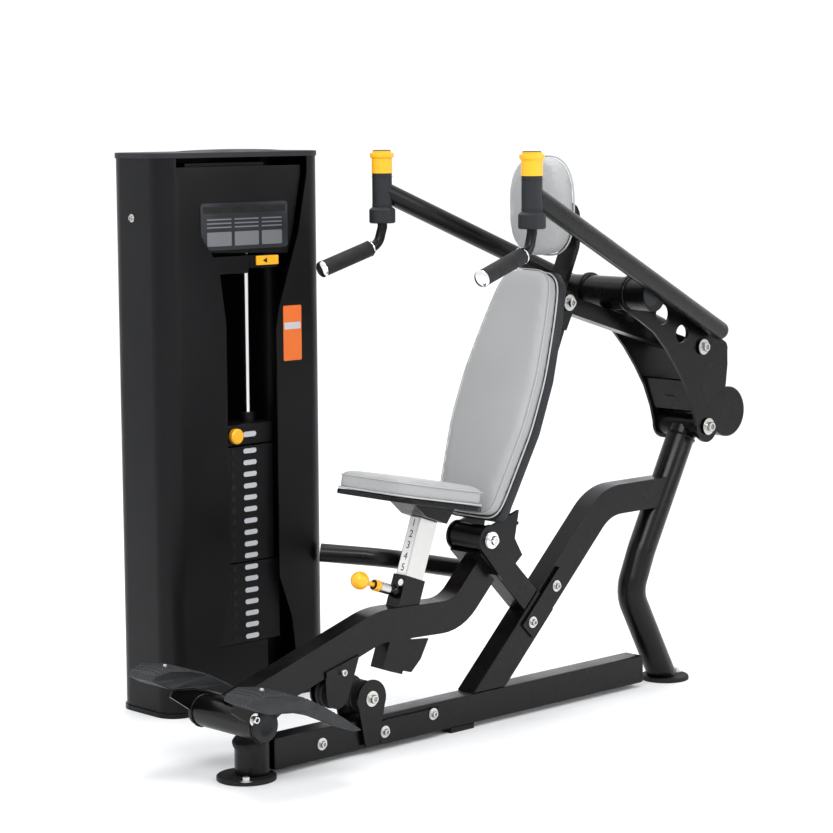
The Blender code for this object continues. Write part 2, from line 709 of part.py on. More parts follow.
def top_plate(x, low, rods):
    """The plate that the cable lifts, with its stem, its bushings and its selector pin."""
    high = low + TOP_PLATE_HEIGHT
    y0, y1 = STACK_Y - LIGHT_HALF, STACK_Y + LIGHT_HALF
    plate = box("top_plate", (STACK_X[0], y0, low), (STACK_X[1], y1, high), "iron", 0.004)
    set_origin(plate, (x, STACK_Y, low))
    for ending, y in (("front", STACK_Y - ROD_SPREAD), ("rear", STACK_Y + ROD_SPREAD)):
        profile = [(0, 0.024), (0.019, 0.024), (0.021, 0.022), (0.021, -WELD), (0, -WELD)]
        bushing = turned("rod_bushing_" + ending, profile, (x, y, high), (0, 0, 1), "grey_plastic", 24)
        weld(plate, bushing)
    stem = rod(
        "selector_stem",
        (x, STACK_Y, STACK_BOTTOM + 0.004),
        (x, STACK_Y, low + 0.010),
        STEM_RADIUS,
        "stainless",
        20,
    )
    cut(weld(plate, stem), *rods)
    middle = (low + high) / 2
    face = STACK_X[1]
    room = rod("pin_room", (face - 0.030, STACK_Y, middle), (face + 0.1, STACK_Y, middle), 0.0060, None, 16)
    cut(plate, room)
    shaft = [(0, -0.028), (0.0055, -0.028), (0.0055, 0.004), (0.017, 0.004), (0.020, 0.008)]
    shaft += [(0.020, 0.020), (0.016, 0.024), (0, 0.024)]
    pin = turned("selector_pin", shaft[::-1], (face, STACK_Y, middle), (1, 0, 0), "yellow", 24)
    set_origin(pin, (face, STACK_Y, middle))
    lift_end = TOWER_TOP - 0.100
    rod("lift_cable", (x, STACK_Y, high + GAP), (x, STACK_Y, lift_end), CABLE_RADIUS, "cable_black", 10)
    pulley_x = x - LIFT_PULLEY_RADIUS + 0.006 - 1.5 * CABLE_RADIUS
    pulley("lift_pulley", (pulley_x, STACK_Y, lift_end), (0, 1, 0), LIFT_PULLEY_RADIUS)
    axle_y = 0.018
    axle = rod(
        "lift_pulley_axle",
        (pulley_x, STACK_Y - axle_y, lift_end),
        (pulley_x, STACK_Y + axle_y, lift_end),
        BOLT_RADIUS,
        "stainless",
        20,
    )
    crossbar = bpy.data.objects["tower_crossbar"]
    hanger_top = TOWER_TOP - 0.040 + 0.006
    for ending, sign in (("front", -1), ("rear", 1)):
        near, far = sorted((STACK_Y + sign * 0.0115, STACK_Y + sign * 0.0165))
        low_z = lift_end - 0.022
        hanger = box(
            "pulley_hanger_" + ending,
            (pulley_x - 0.020, near, low_z),
            (pulley_x + 0.020, far, hanger_top),
            "black_paint",
        )
        weld(crossbar, hanger)
    weld(crossbar, axle)
    return plate, pin


# ---- pressing arms -------------------------------------------------------------
def arm_line(sign):
    """The start at the handle's sleeve and the end behind the plates of one arm tube."""
    front = Vector((sign * HANDLE_X, HANDLE_Y, 1.336))
    rear = Vector((sign * (ARM_PLATE_X + SHEET + GAP + ARM_TUBE_RADIUS + 0.002), 0.895, 0.947))
    return front, rear


def plate_outline():
    """The big side plate: round nose about the cross tube, curved belly, round foot at the pivot."""
    nose = arc(CROSS_TUBE, 0.050, 60, 255, 16)
    belly = [(0.614, 0.985), (0.664, 0.955), (0.714, 0.905), (0.757, 0.852), (0.796, 0.795)]
    belly += [(0.822, 0.738), (0.836, 0.690)]
    foot = arc(ARM_PIVOT, 0.043, 175, 360, 12)
    back = [(0.938, 0.745), (0.955, 0.795), (0.962, 0.850), (0.961, 0.889)]
    shoulder = arc((0.938, 0.893), 0.024, 0, 70, 4)
    return nose + belly + foot + back + shoulder


def make_arm_plates():
    big_hole = circle((0.696, 1.001), 0.0275, 28)
    tube_hole = circle(CROSS_TUBE, CROSS_TUBE_RADIUS + GAP, 40)
    bolt_hole = circle(ARM_PIVOT, BOLT_RADIUS + RUNNING_FIT, 20)
    small_hole = circle((0.773, 0.945), 0.024, 24)
    loops = [plate_outline(), big_hole, small_hole, tube_hole, bolt_hole]
    made = []
    for ending, sign in sides():
        plate = side_plate("arm_plate_" + ending, loops, ARM_PLATE_X, SHEET, sign, "black_paint")
        made.append(plate)
    inner = ARM_PLATE_X + 2 * WELD
    web = strip([(0.798, 0.818), (0.834, 0.735)], 0.008)
    made.append(outline("arm_web", [web], -inner, inner, "black_paint"))
    made.append(x_rod("link_pin", ARM_LINK_PIVOT, BOLT_RADIUS, -0.084, 0.084, "stainless"))
    path = [(0.812, 0.785), (0.930, 0.790), COUNTERWEIGHT]
    bar = outline("counterweight_bar", [strip(path, 0.030)], -0.015, 0.015, "black_paint")
    disc_room = x_rod("disc_room", COUNTERWEIGHT, COUNTERWEIGHT_RADIUS + GAP, -0.1, 0.1, None, 44)
    made.append(cut(bar, disc_room))
    made[0].name = "arm_yoke"
    return [weld(*made)]


def make_arms():
    made = make_arm_plates()
    cross = x_rod("cross_tube", CROSS_TUBE, CROSS_TUBE_RADIUS, -CROSS_TUBE_HALF, CROSS_TUBE_HALF, "black_paint", 40)
    for ending, sign in sides():
        front, rear = arm_line(sign)
        along = (rear - front).normalized()
        arm = tube("arm_tube_" + ending, [front, rear], ARM_TUBE_RADIUS, "black_paint", 8)
        room = rod("arm_room_" + ending, front, rear + along * 0.05, ARM_TUBE_RADIUS + GAP, None, 24)
        cut(cross, room)
        centre = (sign * HANDLE_X, HANDLE_Y)
        collar = rod("collar_room_" + ending, (*centre, 1.20), (*centre, 1.45), SLEEVE_RADIUS + GAP, None, 32)
        low_collar = rod(
            "low_collar_room_" + ending,
            (*centre, 1.20),
            (*centre, COLLAR_TOP + GAP),
            COLLAR_RADIUS + GAP,
            None,
            32,
        )
        cut(arm, collar, low_collar)
        made.append(arm)
        made.append(handle_sleeve(ending, centre))
    profile = [(0, COUNTERWEIGHT_HALF), (COUNTERWEIGHT_RADIUS - 0.003, COUNTERWEIGHT_HALF)]
    profile += [(COUNTERWEIGHT_RADIUS, COUNTERWEIGHT_HALF - 0.003)]
    profile += [(radius, -height) for radius, height in profile[::-1]]
    weight = turned("counterweight", profile, (0, *COUNTERWEIGHT), (1, 0, 0), "black_paint", 44)
    return made + [cross, weight]


def handle_sleeve(ending, centre):
    bore = HANDLE_RADIUS + RUNNING_FIT
    low, mid, top = COLLAR_BOTTOM, COLLAR_TOP, SLEEVE_TOP
    profile = [(SLEEVE_RADIUS, top), (SLEEVE_RADIUS, mid + 0.004), (COLLAR_RADIUS - 0.003, mid)]
    profile += [(COLLAR_RADIUS, mid - 0.003), (COLLAR_RADIUS, low + 0.003), (COLLAR_RADIUS - 0.003, low)]
    profile += [(bore, low), (bore, top)]
    return turned("handle_sleeve_" + ending, profile, (*centre, 0), (0, 0, 1), "grey_plastic", 32)


def make_handle(ending, sign):
    """The swivelling handle: a bent rod and its grip."""
    x, y = sign * HANDLE_X, HANDLE_Y
    bend_at = Vector((sign * 0.263, -0.002, 1.200))
    tip = Vector((sign * 0.279, -0.172, 1.147))
    top = Vector((x, y, COLLAR_TOP + 0.020))
    low = Vector((x, y, COLLAR_BOTTOM - 0.010))
    out = (tip - bend_at).normalized()
    up = (low - bend_at).normalized()
    path = [top, low]
    reach = 0.022
    for i in range(1, 9):
        share = i / 8
        a = (bend_at + up * reach).lerp(bend_at, share)
        b = bend_at.lerp(bend_at + out * reach, share)
        path.append(a.lerp(b, share))
    path.append(tip)
    bar = tube("handle_bar_" + ending, path, HANDLE_RADIUS, "black_paint", 5)
    grip_start = bend_at + out * 0.030
    length = (tip - grip_start).length
    bore = HANDLE_RADIUS + GAP
    profile = [(GRIP_RADIUS - 0.002, length), (GRIP_RADIUS, length - 0.002), (GRIP_RADIUS, 0.002)]
    profile += [(GRIP_RADIUS - 0.002, 0), (bore, 0), (bore, length)]
    grip = turned("grip_" + ending, profile, grip_start, out, "rubber", 24)
    set_origin(bar, (x, y, COLLAR_BOTTOM))
    return [bar, grip]


def make_release_cap(ending, sign):
    """The yellow cap on the sleeve that is pulled up to free the handle."""
    low = SLEEVE_TOP + GAP
    stem = HANDLE_RADIUS - 0.002
    profile = [(0, 0.056), (0.024, 0.056), (0.024, 0.052), (0.0305, 0.050), (0.0305, 0.041)]
    profile += [(0.026, 0.036), (0.026, 0), (stem, 0), (stem, -0.040), (0, -0.040)]
    place_at = (sign * HANDLE_X, HANDLE_Y, low)
    cap = turned("release_cap_" + ending, profile, place_at, (0, 0, 1), "yellow", 28)
    return set_origin(cap, place_at)


def make_link():
    """The bar that carries the arms' turn to the seat. Its rear bore is the open pivot."""
    front, rear = BACK_LINK_PIVOT, ARM_LINK_PIVOT
    along = (Vector(rear) - Vector(front)).normalized()
    turn = math.degrees(math.atan2(along.y, along.x))
    radius = LINK_DEPTH / 2
    shape = arc(rear, radius, turn - 90, turn + 90, 12) + arc(front, radius, turn + 90, turn + 270, 12)
    front_hole = circle(front, BOLT_RADIUS + RUNNING_FIT, 20)
    rear_hole = circle(rear, BOLT_RADIUS + LINK_OPEN_CLEARANCE, 24)
    half = LINK_HALF_WIDTH
    bar = outline("link_bar", [shape, front_hole, rear_hole], -half, half, "black_paint")
    return set_origin(bar, (0, *front))


# ---- moving seat carriage ------------------------------------------------------
def seat_tube_path():
    corners = [(-0.712, 0.164), (-0.272, 0.303), (-0.012, 0.294), (0.115, 0.420)]
    return bend(corners, (0.20, 0.12), 6)


def make_seat_tube():
    half = SEAT_TUBE_HALF_WIDTH
    shape = strip(seat_tube_path(), SEAT_TUBE_DEPTH)
    seat_tube = outline("seat_tube", [shape], -half, half, "black_paint")
    lean = Vector((0, 1, 1)).normalized()
    trim(seat_tube, (0, 0.071, 0.412), lean)
    soften(seat_tube, 0.020, 4, 60)
    cross_room = x_rod("foot_tube_room", FOOT_TUBE, FOOT_TUBE_RADIUS + GAP, -0.1, 0.1, None, 36)
    width, depth = sleeve_size()
    centre = on_post(-SLEEVE_LENGTH / 2)
    room = (width + 2 * GAP, depth + 2 * GAP, SLEEVE_LENGTH + 0.1)
    sleeve_room = tilted_box("sleeve_room", (0, *centre), room, SEAT_LEAN, None)
    return cut(seat_tube, cross_room, sleeve_room)


def sleeve_size():
    extra = 2 * (RUNNING_FIT + SLEEVE_WALL)
    return POST_WIDTH + extra, POST_DEPTH + extra


def make_seat_sleeve():
    width, depth = sleeve_size()
    centre = on_post(-SLEEVE_LENGTH / 2)
    sleeve = tilted_box("seat_sleeve", (0, *centre), (width, depth, SLEEVE_LENGTH), SEAT_LEAN, "black_paint")
    inner = (width - 2 * SLEEVE_WALL, depth - 2 * SLEEVE_WALL, SLEEVE_LENGTH + 0.1)
    post_room = tilted_box("post_room", (0, *centre), inner, SEAT_LEAN, None)
    along = PIN_ALONG
    tip_room = rod("pin_tip_room", (0, *on_post(along, 0.02)), (0, *on_post(along, 0.20)), PIN_RADIUS + RUNNING_FIT, None, 16)
    weld(cut(sleeve, post_room), pin_barrel(depth))
    rear = -depth / 2 + WELD
    gusset = [on_post(-0.150, rear), on_post(-0.225, rear), (-0.150, 0.168), (-0.118, 0.196)]
    gusset += [(-0.090, 0.244)]
    shape = outline("sleeve_gusset", [gusset], -0.004, 0.004, "black_paint")
    half = SEAT_TUBE_DEPTH / 2 + GAP
    tube_room = outline("gusset_tube_room", [strip(seat_tube_path(), 2 * half)], -0.1, 0.1, None)
    weld(sleeve, cut(shape, tube_room))
    return cut(sleeve, tip_room)


def pin_barrel(depth):
    """The barrel on the sleeve's front that guides the sprung pin."""
    face = depth / 2 - WELD
    profile = [(0, face), (0.016, face), (0.016, face + 0.012), (0.012, face + 0.016), (0.012, 0.112), (0, 0.112)]
    return turned("pin_barrel", profile[::-1], *pin_axis(), "black_paint", 20)


def pin_axis():
    """A point on the seat pin's axis and the axis's direction towards the front."""
    normal = Vector((0, -math.cos(SEAT_LEAN), math.sin(SEAT_LEAN)))
    return Vector((0, *on_post(PIN_ALONG))), normal


def make_cheeks():
    y, z = SEAT_PIVOT
    shape = arc(SEAT_PIVOT, 0.038, 215, 75, 10)
    shape += [(y + 0.101, z + 0.064), (y + 0.086, z - 0.006), (y + 0.113, z - 0.051), (y + 0.043, z - 0.107)]
    hole = circle(SEAT_PIVOT, BOLT_RADIUS + RUNNING_FIT, 20)
    made = []
    for ending, sign in sides():
        plate = side_plate("seat_cheek_" + ending, [shape, hole], CHEEK_X, SHEET, sign, "black_paint")
        made.append(plate)
    inner = CHEEK_X + 2 * WELD
    lean = Vector((0, 1, 1)).normalized()
    base = Vector((0, 0.071, 0.412)) + lean * (0.004 + GAP)
    low = tilted_box("seat_bridge", base, (2 * inner, 0.008, 0.085), -math.radians(45), "black_paint")
    foot = Vector((0, *BACK_FOOT))
    high = tilted_box(
        "back_bridge",
        foot - back_up() * (0.004 + GAP),
        (2 * inner, 0.066, 0.008),
        BACK_POST_LEAN,
        "black_paint",
    )
    made[0].name = "carriage_yoke"
    return weld(*made, low, high)


def back_up():
    return Vector((0, math.sin(BACK_POST_LEAN), math.cos(BACK_POST_LEAN)))


def make_back_frame():
    post = outline("back_post", [strip([BACK_FOOT, BACK_TOP], 0.050)], -0.025, 0.025, "black_paint")
    soften(post, 0.004)
    y, z = BACK_LINK_PIVOT
    half_in, half_out = LINK_HALF_WIDTH + GAP + 0.0005, LINK_HALF_WIDTH + 0.0085
    up = back_up()
    side = Vector((0, up.z, -up.y))
    top = Vector((0, *BACK_TOP)) - up * 0.004
    corners = [top - side * 0.026, top + side * 0.026]
    ear = [(corners[0].y, corners[0].z)] + arc(BACK_LINK_PIVOT, LINK_DEPTH / 2 + 0.008, 150, -30, 12)
    ear += [(corners[1].y, corners[1].z)]
    bracket = outline("link_bracket", [ear], -half_out, half_out, "black_paint")
    floor = top + up * 0.010
    room = tilted_box("link_room", floor + up * 0.1, (2 * half_in, 0.2, 0.2), BACK_POST_LEAN, None)
    cut(bracket, room)
    bolt = x_rod("back_link_bolt", BACK_LINK_PIVOT, BOLT_RADIUS, -0.036, 0.036, "stainless")
    return weld(post, bracket, bolt, head_post(), *make_back_mounts())


def head_post():
    """The bent flat bar behind the head pad."""
    y = HEAD_CENTRE[1] + HEAD_SIZE[1] / 2 + GAP
    reach = LINK_DEPTH / 2 + 0.0062
    start = (BACK_LINK_PIVOT[0] - 0.514 * reach, BACK_LINK_PIVOT[1] + 0.858 * reach)
    level = HEAD_CENTRE[2]
    path = bend([start, (0.424, 1.190), (0.424, level), (y, level)], (0.06, 0.03), 4)
    half = LINK_HALF_WIDTH + 0.0075
    return outline("head_post", [strip(path, 0.014)], -half, half, "black_paint")


def pad_front(z):
    return 0.044 + math.tan(BACK_LEAN) * (z - 0.602)


def make_back_pad():
    """The back pad and its shell: an outline narrow at the top, seen square to its face."""
    rows = [(0.545, 0.085), (0.560, 0.097), (0.602, 0.105), (0.762, 0.130), (0.888, 0.129)]
    rows += [(1.023, 0.109), (1.120, 0.088), (1.146, 0.060)]
    tall = math.cos(BACK_LEAN)
    middle = 0.83
    shape = [(half, (z - middle) / tall) for z, half in rows]
    shape += [(-x, up) for x, up in shape[::-1]]
    turn = Matrix.Rotation(math.pi / 2 - BACK_LEAN, 4, "X")
    made = []
    layers = (("back_pad", 0.0, 0.045, "light_vinyl"), ("back_shell", 0.045 + GAP, 0.030, "grey_plastic"))
    for name, depth, thick, finish in layers:
        curve = flat_curve(name, [shape], thick / 2)
        into = depth + thick / 2
        centre = (0, pad_front(middle) + into * tall, middle - into * math.sin(BACK_LEAN))
        layer = solid_from_curve(name, curve, finish, Matrix.Translation(centre) @ turn)
        made.append(soften(layer, 0.008, 2))
    return made


def make_back_mounts():
    """The blocks that hold the shell off the back post."""
    made = []
    depth = 0.045 + 0.030 + 2 * GAP
    for ending, z in (("lower", 0.640), ("upper", 0.960)):
        share = (z - BACK_FOOT[1]) / (BACK_TOP[1] - BACK_FOOT[1])
        post = Vector((0, *mix(BACK_FOOT, BACK_TOP, share)))
        rear_face = post - Vector((0, math.cos(BACK_POST_LEAN), -math.sin(BACK_POST_LEAN))) * 0.020
        shell = Vector((0, pad_front(z) + depth / math.cos(BACK_LEAN), z))
        corners = [
            shell - slope(BACK_LEAN) * 0.030,
            shell + slope(BACK_LEAN) * 0.030,
            rear_face + slope(BACK_POST_LEAN) * 0.030,
            rear_face - slope(BACK_POST_LEAN) * 0.030,
        ]
        loop = [(c.y, c.z) for c in corners]
        made.append(outline("back_mount_" + ending, [loop], -0.022, 0.022, "black_paint"))
    return made


def slope(lean):
    return Vector((0, math.sin(lean), math.cos(lean)))


def make_head_pad():
    """An oval pad in two layers, seen from the front."""
    steps = 28
    half_x, half_z = HEAD_SIZE[0] / 2, HEAD_SIZE[2] / 2
    shape = []
    for i in range(steps):
        turn = math.tau * i / steps
        c, s = math.cos(turn), math.sin(turn)
        shape.append((half_x * math.copysign(abs(c) ** 0.85, c), half_z * math.copysign(abs(s) ** 0.85, s)))
    curve = flat_curve("head_pad", [shape], HEAD_SIZE[1] / 2)
    matrix = Matrix.Translation(HEAD_CENTRE) @ Matrix.Rotation(math.pi / 2, 4, "X")
    return soften(solid_from_curve("head_pad", curve, "light_vinyl", matrix), 0.012, 2)


def make_foot_rest():
    """The cross tube at the seat tube's front end, its end rings and the foot pads."""
    half = FOOT_TUBE_HALF
    made = [x_rod("foot_tube", FOOT_TUBE, FOOT_TUBE_RADIUS, -half, half, "black_paint", 36)]
    y, z = FOOT_TUBE
    bracket = arc(FOOT_TUBE, FOOT_TUBE_RADIUS + WELD, 170, 380, 14)
    bracket += [(-0.652, 0.176), (-0.734, 0.2025), (-0.800, 0.2105), (-0.806, 0.196)]
    pad = foot_pad_outline()
    for ending, sign in sides():
        weld(made[0], side_plate("foot_bracket_" + ending, [bracket], half - WELD, SHEET, sign, "black_paint"))
        inner = half + SHEET
        piece = side_plate("foot_pad_" + ending, [pad], inner, 0.118, sign, "rubber")
        taper_foot_pad(piece, sign, inner)
        made.append(soften(piece, 0.003, 1))
    return made


def foot_pad_outline():
    top = [(-0.845, 0.236), (-0.835, 0.2475), (-0.793, 0.255), (-0.735, 0.246), (-0.680, 0.227), (-0.620, 0.196)]
    top += [(-0.555, 0.158), (-0.497, 0.120)]
    under = [(-0.523, 0.121), (-0.600, 0.158), (-0.665, 0.184), (-0.726, 0.203), (-0.800, 0.212)]
    return top + under


def taper_foot_pad(piece, sign, inner):
    """Narrows the pad from its broad toe to its heel."""
    for vertex in piece.data.vertices:
        share = min(max((vertex.co.y + 0.72) / 0.22, 0.0), 1.0)
        toe = min(max((-0.80 - vertex.co.y) / 0.045, 0.0), 1.0)
        width = 1.0 - 0.45 * share - 0.22 * toe
        middle = inner + 0.059
        vertex.co.x = sign * (middle + (abs(vertex.co.x) - middle) * width)


def make_carriage_pulley():
    """The pulley under the seat tube and the plates that hold it."""
    centre = (-0.415, 0.160)
    inner = SEAT_TUBE_HALF_WIDTH + GAP
    shape = arc(centre, 0.034, 200, 340, 10) + [(-0.346, 0.246), (-0.452, 0.220)]
    block = x_rod("carriage_pulley_block", centre, BOLT_RADIUS, -inner - 0.002, inner + 0.002, "black_paint", 20)
    for ending, sign in sides():
        name = "carriage_pulley_plate_" + ending
        weld(block, side_plate(name, [shape], inner, 0.005, sign, "black_paint"))
    return block, pulley("carriage_pulley", (0, *centre), (1, 0, 0), 0.036)


# ---- seat ----------------------------------------------------------------------
def make_seat():
    length = POST_ABOVE + POST_BELOW
    middle = on_post((POST_ABOVE - POST_BELOW) / 2)
    post = tilted_box("seat_post", (0, *middle), (POST_WIDTH, POST_DEPTH, length), SEAT_LEAN, "stainless", 0.003)
    y0, y1 = -0.300, -0.018
    base, cushion = 0.012, 0.047
    dip = Matrix.Rotation(-SEAT_DIP, 4, "X")
    pivot = Vector((0, -0.018, 0.563))
    steps = (("seat_plate", 0.0, base, "black_paint"), ("seat_pad", base + GAP, cushion, "light_vinyl"))
    made = [post]
    for name, low, thick, finish in steps:
        curve = flat_curve(name, [seat_plan(y0, y1)], thick / 2)
        up = Matrix.Translation((0, 0.018, low + thick / 2))
        matrix = Matrix.Translation(pivot) @ dip @ up
        layer = solid_from_curve(name, curve, finish, matrix)
        made.append(soften(layer, 0.003 if name == "seat_plate" else 0.010, 2))
    weld(made[1], outline("seat_mount", [seat_mount_outline()], -0.045, 0.045, "black_paint"))
    set_origin(post, (0, *SEAT_AXIS))
    return made


def seat_plan(y0, y1):
    """The seat seen from above, as (x, y): broad at the rear with rounded corners."""
    wide, narrow, r = 0.142, 0.128, 0.045
    shape = arc((wide - r, y1 - r), r, 0, 90, 5) + arc((-wide + r, y1 - r), r, 90, 180, 5)
    shape += arc((-narrow + r, y0 + r), r, 180, 270, 5) + arc((narrow - r, y0 + r), r, 270, 360, 5)
    return shape


def seat_mount_outline():
    """The wedge between the post's top and the seat plate's underside."""
    front, rear = on_post(POST_ABOVE + GAP, 0.036), on_post(POST_ABOVE + GAP, -0.036)
    slope_down = math.tan(SEAT_DIP)
    reach = ((rear[0] + 0.030), (front[0] - 0.045))
    top = [(y, 0.563 + 0.002 + (-0.018 - y) * slope_down) for y in reach]
    return [front, rear] + top


def make_seat_pin():
    """The sprung pin in front of the sleeve, with its ball knob."""
    tip = POST_DEPTH / 2 + 0.0008
    middle, radius = 0.158, 0.0225
    first = math.asin(PIN_RADIUS / radius)
    turns = [first + (math.pi - first) * i / 12 for i in range(12)]
    ball = [(radius * math.sin(turn), middle - radius * math.cos(turn)) for turn in turns]
    knob = [(0, tip), (PIN_RADIUS, tip)] + ball + [(0, middle + radius)]
    start, normal = pin_axis()
    pin = turned("seat_pin", knob[::-1], start, normal, "yellow", 20)
    return set_origin(pin, tuple(start + normal * middle))


# ---- the whole machine ---------------------------------------------------------
def build():
    make_rail()
    make_front_post()
    make_upright()
    make_diagonal()
    make_arch()
    make_seat_bracket()
    make_rail_pulley()
    make_shroud()
    make_tower_front()
    make_moving_pieces(*make_stack())


def make_moving_pieces(top_plate, selector_pin):
    lift = new_axis("top_plate_axis", top_plate.location)
    join_to(lift, top_plate, selector_pin)
    arms = new_axis("press_arms_axis", (0, *ARM_PIVOT))
    join_to(arms, *make_arms())
    for ending, sign in sides():
        join_to(arms, *make_handle(ending, sign), make_release_cap(ending, sign))
    carriage = new_axis("carriage_axis", (0, *SEAT_PIVOT))
    join_to(carriage, make_seat_tube(), make_seat_sleeve(), make_cheeks(), make_back_frame())
    join_to(carriage, *make_back_pad(), make_head_pad(), *make_foot_rest())
    join_to(carriage, *make_carriage_pulley(), make_link())
    seat = new_axis("seat_axis", (0, *SEAT_AXIS))
    join_to(seat, *make_seat())
    join_to(carriage, make_seat_pin(), seat)


clear_scene()
PARTS = new_collection(OBJECT_NAME)
CUTTERS = new_collection("cutters", hidden=True)
build()
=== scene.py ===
# %% [markdown]
# # Shoulder press machine
#
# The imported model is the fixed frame. This script adds what makes it look real: sewn pads,
# fasteners, labels, caps and trim, and a procedural material on every surface.
# New pieces are numpy surfaces, because a formula for a whole sheet of points is short to
# read and exact to place; the pads are then inflated by a cloth simulation.

# %% Frame
import math

import bpy
import numpy as np
from mathutils import Matrix, Vector


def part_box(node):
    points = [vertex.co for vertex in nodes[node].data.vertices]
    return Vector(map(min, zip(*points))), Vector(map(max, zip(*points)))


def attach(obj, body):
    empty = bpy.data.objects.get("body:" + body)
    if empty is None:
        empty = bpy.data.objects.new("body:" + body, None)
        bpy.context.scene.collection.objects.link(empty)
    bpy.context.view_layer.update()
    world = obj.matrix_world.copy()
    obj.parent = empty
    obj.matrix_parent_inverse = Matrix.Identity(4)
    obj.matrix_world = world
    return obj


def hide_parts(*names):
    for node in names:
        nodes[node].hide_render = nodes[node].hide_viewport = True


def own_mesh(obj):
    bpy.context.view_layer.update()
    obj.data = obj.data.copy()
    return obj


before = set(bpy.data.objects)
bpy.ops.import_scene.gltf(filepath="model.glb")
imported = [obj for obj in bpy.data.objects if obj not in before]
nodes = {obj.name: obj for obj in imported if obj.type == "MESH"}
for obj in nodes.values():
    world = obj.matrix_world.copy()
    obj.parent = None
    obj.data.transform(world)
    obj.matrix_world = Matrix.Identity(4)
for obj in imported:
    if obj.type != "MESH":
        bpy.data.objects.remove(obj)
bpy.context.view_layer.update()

# %% [markdown]
# ## Camera and studio
# A long lens stands in front of the machine on the user's left, a little above it.
# Three large soft lights and a white sweep keep the black coat readable.

# %% Camera, floor and lights
CAMERA_AT = Vector((4.3839, -4.2799, 1.5224))
AZIMUTH, PITCH, ROLL = (math.radians(angle) for angle in (46.52, 6.85, 0.39))
LENS = 108.26


def make_camera():
    right = Vector((math.cos(AZIMUTH), math.sin(AZIMUTH), 0))
    level = math.cos(PITCH)
    ahead = Vector((-math.sin(AZIMUTH) * level, math.cos(AZIMUTH) * level, -math.sin(PITCH)))
    up = right.cross(ahead)
    turn = Matrix((right, up, -ahead)).transposed().to_4x4()
    camera = bpy.data.objects.new("camera", bpy.data.cameras.new("camera"))
    camera.data.lens = LENS
    camera.data.sensor_width = 36
    camera.data.clip_end = 200
    camera.matrix_world = Matrix.Translation(CAMERA_AT) @ turn @ Matrix.Rotation(-ROLL, 4, "Z")
    bpy.context.scene.collection.objects.link(camera)
    bpy.context.scene.camera = camera


def make_light(name, at, target, size, power, colour=(1, 1, 1)):
    light = bpy.data.lights.new(name, "AREA")
    light.shape = "RECTANGLE"
    light.size, light.size_y = size
    light.energy = power
    light.color = colour
    obj = bpy.data.objects.new(name, light)
    obj.location = at
    obj.rotation_euler = (Vector(target) - Vector(at)).to_track_quat("-Z", "Y").to_euler()
    bpy.context.scene.collection.objects.link(obj)


def make_studio():
    world = bpy.data.worlds.new("studio")
    world.use_nodes = True
    world.node_tree.nodes["Background"].inputs[0].default_value = (0.97, 0.98, 1.0, 1)
    world.node_tree.nodes["Background"].inputs[1].default_value = 0.95
    bpy.context.scene.world = world
    make_light("key", (2.6, -3.4, 4.2), (0, 0, 0.7), (3.0, 2.0), 95)
    make_light("fill", (4.2, 1.6, 2.6), (0, 0.2, 0.7), (2.4, 2.4), 45)
    make_light("top", (-0.6, 0.4, 4.6), (-0.1, 0.1, 0.6), (3.2, 3.2), 70)
    view = bpy.context.scene.view_settings
    view.view_transform = "Standard"
    view.look = "Medium High Contrast"
    view.exposure = 0.0


make_camera()
make_studio()


# %% [markdown]
# ## Materials
# Every finish is procedural, so there are no images. The paints differ in roughness and in
# how much they mirror; a low specular level keeps black paint black in a white studio.
#
# Effects that several finishes share are node groups: a fine bump, and a roughness that
# varies in broad smudges. Every group reads Object coordinates, which stay put on a moving
# piece because each piece's place is in its mesh.

# %% Shared node groups
def new_group(name, inputs, outputs):
    group = bpy.data.node_groups.new(name, "ShaderNodeTree")
    for label, kind, value in inputs:
        socket = group.interface.new_socket(label, in_out="INPUT", socket_type=kind)
        if value is not None:
            socket.default_value = value
    for label, kind in outputs:
        group.interface.new_socket(label, in_out="OUTPUT", socket_type=kind)
    return group, group.nodes.new("NodeGroupInput"), group.nodes.new("NodeGroupOutput")


def grain_group():
    """Fine bump from noise, with a broad second wave mixed in."""
    inputs = [("Scale", "NodeSocketFloat", 400.0), ("Depth", "NodeSocketFloat", 0.1)]
    group, enter, leave = new_group("surface_grain", inputs, [("Normal", "NodeSocketVector")])
    where = group.nodes.new("ShaderNodeTexCoord")
    noise = group.nodes.new("ShaderNodeTexNoise")
    noise.inputs["Detail"].default_value = 3.0
    bump = group.nodes.new("ShaderNodeBump")
    bump.inputs["Distance"].default_value = 0.0006
    link = group.links.new
    link(where.outputs["Object"], noise.inputs["Vector"])
    link(enter.outputs["Scale"], noise.inputs["Scale"])
    link(noise.outputs["Fac"], bump.inputs["Height"])
    link(enter.outputs["Depth"], bump.inputs["Strength"])
    link(bump.outputs["Normal"], leave.inputs["Normal"])
    return group


def smudge_group():
    """Roughness between two values, in soft patches the size of a hand."""
    inputs = [("Low", "NodeSocketFloat", 0.3), ("High", "NodeSocketFloat", 0.45)]
    inputs.append(("Scale", "NodeSocketFloat", 9.0))
    group, enter, leave = new_group("smudges", inputs, [("Roughness", "NodeSocketFloat")])
    where = group.nodes.new("ShaderNodeTexCoord")
    noise = group.nodes.new("ShaderNodeTexNoise")
    noise.inputs["Detail"].default_value = 5.0
    spread = group.nodes.new("ShaderNodeMapRange")
    spread.inputs["From Min"].default_value = 0.35
    spread.inputs["From Max"].default_value = 0.65
    link = group.links.new
    link(where.outputs["Object"], noise.inputs["Vector"])
    link(enter.outputs["Scale"], noise.inputs["Scale"])
    link(noise.outputs["Fac"], spread.inputs["Value"])
    link(enter.outputs["Low"], spread.inputs["To Min"])
    link(enter.outputs["High"], spread.inputs["To Max"])
    link(spread.outputs["Result"], leave.inputs["Roughness"])
    return group


